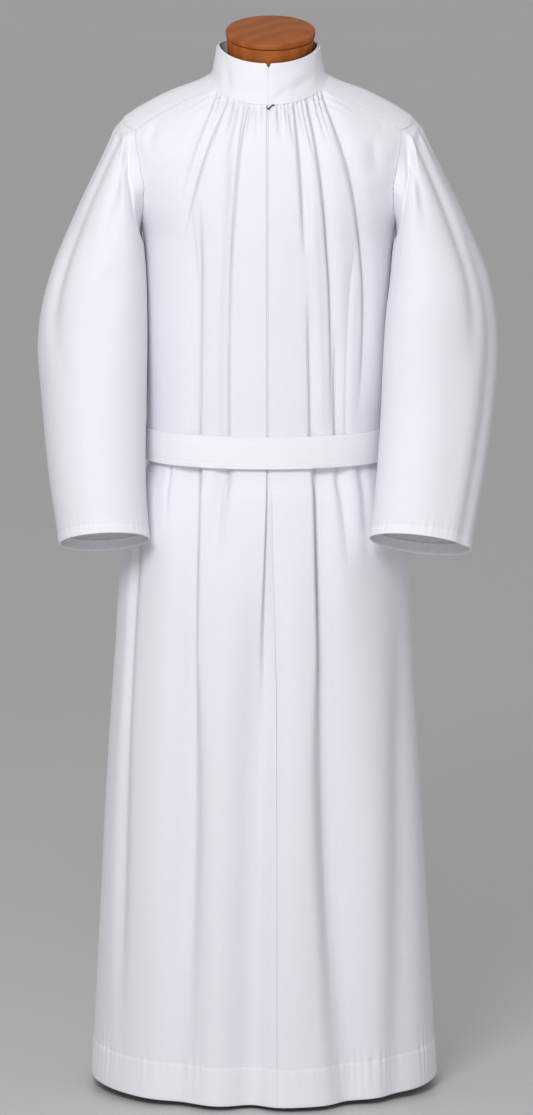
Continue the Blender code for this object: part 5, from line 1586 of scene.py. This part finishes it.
@dataclass
class Collar:
    """The stand collar and the facing inside it, both open at the centre front."""

    form: RobeForm
    flat: tuple[float, float]
    facing_flat: tuple[float, float]
    rim_front: float = 1.551
    rim_side: float = 1.573
    rim_back: float = 1.581
    wall: float = 0.0020
    facing_wall: float = 0.0012
    facing_rise: float = 0.0022
    facing_gap: float = 0.0009
    facing_foot: float = 0.0012
    foot_drop: float = 0.0014
    flare: float = 0.0016
    flare_reach: float = 0.10
    end_gap: float = 0.00006
    rim_turn: float = 0.10
    notch: float = 0.006
    notch_width: float = 0.005

    def stand_point(self, angle: Array, h: Array, rise: float = 0.0) -> Array:
        """The stand's outer surface without its dents, at an angle and a share h of its height."""
        angle, h = np.broadcast_arrays(np.asarray(angle, float), np.asarray(h, float))
        turn = np.radians(angle)
        sine, cosine = np.sin(turn), np.cos(turn)
        at_front = cosine >= 0
        half_width = read_rows(COLLAR_RINGS, "half_width", h, "h")
        front = read_rows(COLLAR_RINGS, "front", h, "h")
        back = read_rows(COLLAR_RINGS, "back", h, "h")
        depth = np.where(at_front, front, back)
        foot = self.form.base(angle, np.zeros(angle.shape))[..., 2] - self.foot_drop
        reach = abs(cosine)
        rounding = self.form.ridge_rounding
        fall = reach * reach * (1 + rounding) / (reach + rounding)
        rim_end = np.where(at_front, self.rim_front, self.rim_back)
        rim = self.rim_side + (rim_end - self.rim_side) * fall
        arc = abs(((angle + 180.0) % 360.0) - 180.0) * math.pi / 180.0 * half_width
        notch = self.notch * np.clip(1 - arc / self.notch_width, 0, 1) ** 2
        z = foot + (rim + rise - notch - foot) * h
        return np.stack([half_width * sine, -depth * cosine, z], axis=-1)

    def dents(self, angle: Array, h: Array) -> Array:
        """The soft dents of the unstiffened collar, as heights."""
        from_front = (np.asarray(angle, float) + 180.0) % 360.0 - 180.0
        rows = (
            (36.0, 0.36, 17.0, 0.15, 0.0030, 0.004), (12.0, 0.22, 7.0, 0.07, 0.0020, 0.012),
            (-48.0, 0.42, 7.0, 0.30, 0.0018, -0.020), (-20.0, 0.24, 16.0, 0.10, 0.0014, 0.002),
            (16.0, 0.78, 20.0, 0.12, 0.0012, 0.002),
            (70.0, 0.50, 9.0, 0.30, 0.0008, 0.010), (150.0, 0.45, 20.0, 0.20, 0.0007, 0.004),
            (-140.0, 0.50, 16.0, 0.22, 0.0007, -0.006),
        )
        total = np.zeros(np.shape(h))
        for at, height, width, reach, depth, slant in rows:
            off = from_front - at
            lean = h - height - slant * off
            total = total - depth * np.exp(-((off / width) ** 2) - (lean / reach) ** 2)
        return total * np.clip(np.minimum(h / 0.08, (1 - h) / 0.06), 0, 1)

    def outward(self, angle: Array, h: Array) -> Array:
        """The level outward direction of the collar."""
        around = self.stand_point(angle + 0.5, h) - self.stand_point(angle - 0.5, h)
        out = np.stack([around[..., 1], -around[..., 0], np.zeros(np.shape(h))], axis=-1)
        return unit(out) * np.where((out * self.stand_point(angle, h)).sum(-1, keepdims=True) < 0, -1.0, 1.0)

    def surface(self, angle: Array, h: Array) -> Array:
        """The stand's outer surface with its dents and seam puckers."""
        angle, h = np.broadcast_arrays(np.asarray(angle, float), np.asarray(h, float))
        from_front = np.radians(abs((angle + 180.0) % 360.0 - 180.0))
        wave = 0.00045 * puckers(from_front * 0.086, h, 0.0085, 0.12)
        lift = self.dents(angle, h) + wave * np.clip(h / 0.03, 0, 1) + self.flare * np.exp(-h / self.flare_reach)
        return self.stand_point(angle, h) + self.outward(angle, h) * lift[..., None]

    def facing_surface(self, angle: Array, h: Array) -> Array:
        """The facing's outer surface, just inside the stand and a little higher at the rim."""
        angle, h = np.broadcast_arrays(np.asarray(angle, float), np.asarray(h, float))
        around = self.stand_point(angle + 0.5, h) - self.stand_point(angle - 0.5, h)
        up = self.stand_point(angle, np.minimum(h + 0.01, 1.0)) - self.stand_point(angle, np.maximum(h - 0.01, 0.0))
        inward = unit(np.cross(up, around))
        inward[..., 2] = 0.0
        level_share = (inward * inward).sum(axis=-1, keepdims=True)
        depth = self.wall + self.facing_gap - self.dents(angle, h)[..., None]
        place = self.stand_point(angle, h, rise=self.facing_rise) + inward / level_share * depth
        place[..., 2] += (self.facing_foot + self.foot_drop) * (1 - h)
        return place

    def build(self, finishes: Finishes) -> bpy.types.Object:
        """Lays the stand and the facing, and sews the stand's edges."""
        end = math.degrees(self.end_gap / 2 / 0.080)
        near = math.degrees(self.notch_width / 0.080)
        rim = end + self.rim_turn
        angles = spread((end, 0), (rim, 1), (near, 7), (360 - near, 220), (360 - rim, 7), (360 - end, 1))
        heights = spread((0.0, 0), (0.16, 6), (0.94, 18), (1.0, 3))
        sheet = Sheet("alb_collar", angles, heights, self.surface, core=(0.0, 0.0, 1.54), wall=self.wall)
        piece = settle(sheet.lay(), finishes.cloth, CLOTH_SLOT, "collar_stand")
        lining = Sheet("alb_collar_facing", angles, spread((0.0, 0), (0.9, 9), (1.0, 3)), self.facing_surface,
                       core=(0.0, 0.0, 1.54), wall=self.facing_wall, edge=0.0004)
        facing = settle(lining.lay(), finishes.band, CLOTH_SLOT, "collar_facing")
        around = np.linspace(near + 1.0, 359.0 - near, 300)
        rows = [StitchRow(self.surface, around, np.full(300, h), pitch=0.0024) for h in (0.035, 0.955)]
        stitches = sewn_on(Stitching("collar_stitches", sheet.core, rows), finishes)
        return piece


@dataclass
class Belt:
    """The belt, one closed band round the waist with rows of stitches along it."""

    form: RobeForm
    flat: tuple[float, float]
    wall: float = 0.0022
    out: float = 0.0010
    stitch_levels: tuple[float, ...] = (0.06, 0.17, 0.83, 0.94)

    def surface(self, angle: Array, h: Array) -> Array:
        """The belt's outer surface, with the stitches' pressed lines."""
        angle, h = np.broadcast_arrays(np.asarray(angle, float), np.asarray(h, float))
        v = V_BELT_TOP + (V_BELT_BOTTOM - V_BELT_TOP) * h
        off = np.min([abs(h - level) for level in self.stitch_levels], axis=0) * (V_BELT_BOTTOM - V_BELT_TOP)
        run = np.radians(abs((angle + 180.0) % 360.0 - 180.0)) * 0.155
        lift = -0.00034 * np.exp(-((off / 0.0011) ** 2)) + 0.00022 * puckers(run, off, 0.010, 0.006)
        lift = lift + 0.0005 * self.form.fold_parts(angle, v)[0] / 0.002 * 0.25
        return self.form.base(angle, v) + self.form.normal(angle, v) * (self.wall + self.out + lift)[..., None]

    def build(self, finishes: Finishes) -> bpy.types.Object:
        """Lays the belt and sews its rows."""
        around, heights = np.linspace(180.0, 540.0, 301), np.linspace(0.0, 1.0, 31)
        sheet = Sheet("alb_belt", around, heights, self.surface, wall=self.wall, closed=True, edge=0.0005)
        piece = settle(sheet.lay(), finishes.band, CLOTH_SLOT, "belt")
        rows = [StitchRow(self.surface, around, np.full_like(around, h), pitch=0.0030) for h in self.stitch_levels]
        stitches = sewn_on(Stitching("belt_stitches", sheet.core, rows), finishes)
        return piece


@dataclass
class HookAndBar:
    """The wire hook and its bar below the collar."""

    form: RobeForm
    radius: float = 0.00085

    def wire(self, name: str, points: tuple[WirePoint, ...]) -> bpy.types.Object:
        """Bends one wire: a round curve through its points, turned into a mesh with closed ends."""
        x = np.array([p.x for p in points])
        v = np.array([p.v for p in points])
        lift = np.array([p.lift for p in points])
        angle = self.form.angle_at(x, v)
        spots = self.form.base(angle, v) + self.form.normal(angle, v) * lift[:, None]
        bpy.ops.object.select_all(action="DESELECT")
        bpy.ops.curve.primitive_nurbs_path_add()
        bent = bpy.context.object
        bent.name = name
        curve = bent.data
        curve.splines.clear()
        line = curve.splines.new("NURBS")
        line.points.add(len(spots) - 1)
        for point, spot in zip(line.points, spots):
            point.co = (*spot, 1.0)
        line.order_u = 3
        line.use_endpoint_u = True
        line.resolution_u = 6
        curve.dimensions = "3D"
        curve.bevel_depth = self.radius
        curve.bevel_resolution = 3
        curve.use_fill_caps = True
        bpy.ops.object.convert(target="MESH")
        made = bpy.context.object
        made.data.shade_smooth()
        return made

    def build(self, finishes: Finishes) -> None:
        """Bends the hook and the bar."""
        settle(self.wire("alb_hook", HOOK_WIRE), finishes.hook, METAL_SLOT, "collar_hook")
        settle(self.wire("alb_hook_bar", BAR_WIRE), finishes.hook, METAL_SLOT, "collar_bar")


@dataclass
class TurnedPiece:
    """A round piece turned on a lathe: a cylinder with eased edges, tilted about its top."""

    name: str
    radius: float
    depth: float
    top: tuple[float, float, float]
    tilt: float = 0.0
    edge: float = 0.002
    sides: int = 128

    def turn(self) -> bpy.types.Object:
        """Adds the cylinder, eases its edges and tilts it.

        Returns:
            The finished object, with its place in its mesh.
        """
        bpy.ops.object.select_all(action="DESELECT")
        bpy.ops.mesh.primitive_cylinder_add(vertices=self.sides, radius=self.radius, depth=self.depth,
                                            location=(0.0, 0.0, -self.depth / 2))
        made = bpy.context.object
        made.name = made.data.name = self.name
        bpy.ops.object.transform_apply(location=True, rotation=False, scale=False)
        bevel = made.modifiers.new("edge", "BEVEL")
        bevel.width = self.edge
        bevel.segments = 4
        bevel.limit_method = "ANGLE"
        bevel.angle_limit = math.radians(40)
        bpy.ops.object.modifier_apply(modifier=bevel.name)
        lean = Matrix.Rotation(math.radians(self.tilt), 4, "X")
        made.data.transform(Matrix.Translation(self.top) @ lean)
        made.data.shade_smooth()
        bpy.ops.object.select_all(action="DESELECT")
        made.select_set(True)
        bpy.ops.object.shade_smooth_by_angle(angle=math.radians(30))
        return made


@dataclass
class DressForm:
    """The limbless dress form: wooden neck, covered torso, pole and base plate."""

    tilt: float = 15.0
    cap_radius: float = 0.0664
    cap_thick: float = 0.0085
    cap_top: tuple[float, float, float] = (0.003, -0.001, 1.5965)
    neck_radius: float = 0.0652
    neck_foot_radius: float = 0.058
    neck_foot: tuple[float, float, float] = (0.0, -0.005, 1.518)
    groove: float = 0.0013
    pole_radius: float = 0.016
    pole_top: float = 0.7997
    base_radius: float = 0.160
    base_thick: float = 0.010

    def build_neck(self, finishes: Finishes) -> None:
        """Turns the cap and the neck block, whose top is tilted and whose foot is level."""
        cap = TurnedPiece("neck_cap_wood", self.cap_radius, self.cap_thick, self.cap_top, self.tilt, 0.0016).turn()
        settle(cap, finishes.cap_wood, WOOD_SLOT, "neck_cap")
        slope = math.radians(self.tilt)
        up = Vector((0.0, -math.sin(slope), math.cos(slope)))
        shoulder = Vector(self.cap_top) - up * (self.cap_thick + self.groove)
        block = TurnedPiece("neck_block_wood", self.neck_radius, 0.05, tuple(shoulder), self.tilt, 0.001).turn()
        self.level_foot(block.data, shoulder, up)
        settle(block, finishes.neck_wood, WOOD_SLOT, "neck_block")
        core = TurnedPiece("neck_tongue_wood", 0.033, self.groove, tuple(Vector(self.cap_top) - up * self.cap_thick),
                           self.tilt, 0.0001, 64).turn()
        settle(core, finishes.neck_wood, WOOD_SLOT)

    def level_foot(self, mesh: bpy.types.Mesh, shoulder: Vector, up: Vector) -> None:
        """Moves the block's foot to a level ring, and tapers its side to it."""
        foot = Vector(self.neck_foot)
        for vert in mesh.vertices:
            below = (shoulder - vert.co).dot(up)
            if below < 0.02:
                continue
            out = vert.co - shoulder + up * below
            share = out.length / self.neck_radius * self.neck_foot_radius
            level = Vector((out.x, out.y, 0.0))
            vert.co = foot + (level.normalized() * share if level.length > 1e-6 else Vector())

    def build_torso(self, finishes: Finishes, node: bpy.types.Object) -> None:
        """Covers the torso: a welded copy of its solid, smoothed once."""
        cover = bpy.data.objects.new("form_torso_cover", node.data.copy())
        bpy.context.scene.collection.objects.link(cover)
        welded = bmesh.new()
        welded.from_mesh(cover.data)
        bmesh.ops.remove_doubles(welded, verts=welded.verts, dist=1e-5)
        welded.to_mesh(cover.data)
        welded.free()
        bpy.context.view_layer.objects.active = cover
        smooth = cover.modifiers.new("smooth", "SUBSURF")
        smooth.levels = smooth.render_levels = 1
        bpy.ops.object.modifier_apply(modifier=smooth.name)
        cover.data.shade_smooth()
        settle(cover, finishes.cover, COVER_SLOT, "form_torso")

    def build_stand(self, finishes: Finishes) -> None:
        """Turns the pole and the base plate."""
        length = self.pole_top - self.base_thick - 0.0003
        pole = TurnedPiece("form_pole", self.pole_radius, length, (0.0, 0.0, self.pole_top), 0.0, 0.0015, 64).turn()
        settle(pole, finishes.steel, POLE_SLOT, "pole")
        base = TurnedPiece("form_base", self.base_radius, self.base_thick, (0.0, 0.0, self.base_thick), 0.0, 0.002).turn()
        settle(base, finishes.iron, BASE_SLOT, "base_plate")


@dataclass
class Studio:
    """The plain floor, the soft lights and the camera."""

    distance: float = 10.0
    elevation: float = 9.1
    target: tuple[float, float, float] = (-0.003, 0.0, 0.805)
    lens: float = 215.2
    floor_half: float = 60.0

    def build_floor(self) -> None:
        """Lays a wide pale floor."""
        bpy.ops.object.select_all(action="DESELECT")
        bpy.ops.mesh.primitive_plane_add(size=2 * self.floor_half, location=(0.0, 0.0, 0.0))
        floor = bpy.context.object
        floor.name = "studio_floor"
        made, wire, shader = new_material("studio_floor_paint")
        place = wire.add("TexCoord")
        cloud = wire.add("TexNoise", {"Vector": place.outputs["Object"], "Scale": 0.8, "Detail": 2.0})
        shade = wire.mix(cloud.outputs[0], (0.555, 0.540, 0.543, 1.0), (0.575, 0.560, 0.563, 1.0))
        wire.tree.links.new(shade, shader.inputs["Base Color"])
        shader.inputs["Roughness"].default_value = 0.35
        shader.inputs["Specular IOR Level"].default_value = 0.5
        floor.data.materials.append(made)

    def add_light(self, name: str, place: tuple[float, float, float], size: float, watts: float) -> None:
        """Adds a square softbox that points at the alb's middle."""
        lamp = bpy.data.lights.new(name, "AREA")
        lamp.shape = "SQUARE"
        lamp.size = size
        lamp.energy = watts
        box = bpy.data.objects.new(name, lamp)
        bpy.context.scene.collection.objects.link(box)
        box.location = place
        aim = Vector((0.0, 0.0, 0.9)) - Vector(place)
        box.rotation_euler = aim.to_track_quat("-Z", "Y").to_euler()

    def build_lights(self) -> None:
        """Sets the room's light and the softboxes."""
        world = bpy.data.worlds.new("studio_air")
        world.use_nodes = True
        sky = world.node_tree.nodes["Background"]
        sky.inputs[0].default_value = (1.0, 0.995, 1.0, 1.0)
        sky.inputs[1].default_value = 0.49
        bpy.context.scene.world = world
        self.add_light("key_softbox", (-0.74, -2.8, 2.8), 1.0, 60.0)
        self.add_light("fill_softbox", (0.1, -3.2, 0.5), 1.4, 15.0)

    def build_camera(self) -> None:
        """Places the camera at the photograph's angle."""
        slope = math.radians(self.elevation)
        camera = bpy.data.cameras.new("studio_camera")
        camera.lens = self.lens
        camera.sensor_width = 36.0
        camera.clip_end = 200.0
        stand = bpy.data.objects.new("studio_camera", camera)
        bpy.context.scene.collection.objects.link(stand)
        x, y, z = self.target
        stand.location = (x, y - self.distance * math.cos(slope), z + self.distance * math.sin(slope))
        stand.rotation_euler = (math.pi / 2 - slope, 0.0, 0.0)
        bpy.context.scene.camera = stand


def main() -> None:
    """Builds the alb, its form and the studio, in order."""
    logging.basicConfig(level=logging.INFO, format="%(name)s: %(message)s")
    scene = bpy.context.scene
    scene.view_settings.view_transform = "Standard"
    studio = Studio()
    studio.build_camera()
    finishes = Finishes.make()
    form = RobeForm()
    FrontPanel(form, Side.LEFT, flat=(0.44, 1.62), area=0.60).build(finishes)
    FrontPanel(form, Side.RIGHT, flat=(0.42, 1.62), area=0.58).build(finishes)
    BackPanel(form, flat=(0.76, 1.62), area=1.05).build(finishes)
    for side in Side:
        Yoke(form, side, flat=(0.15, 0.11), area=0.0135, strip_flat=(0.014, 0.13)).build(finishes)
        SleevePiece(form, side, flat=(0.56, 0.64), area=0.30).build(finishes)
    Collar(form, flat=(0.50, 0.052), facing_flat=(0.49, 0.052)).build(finishes)
    Belt(form, flat=(0.96, 0.048)).build(finishes)
    HookAndBar(form).build(finishes)
    dress_form = DressForm()
    dress_form.build_neck(finishes)
    dress_form.build_torso(finishes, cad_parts["form_torso"])
    dress_form.build_stand(finishes)
    studio.build_floor()
    studio.build_lights()


if __name__ == "__main__":
    main()
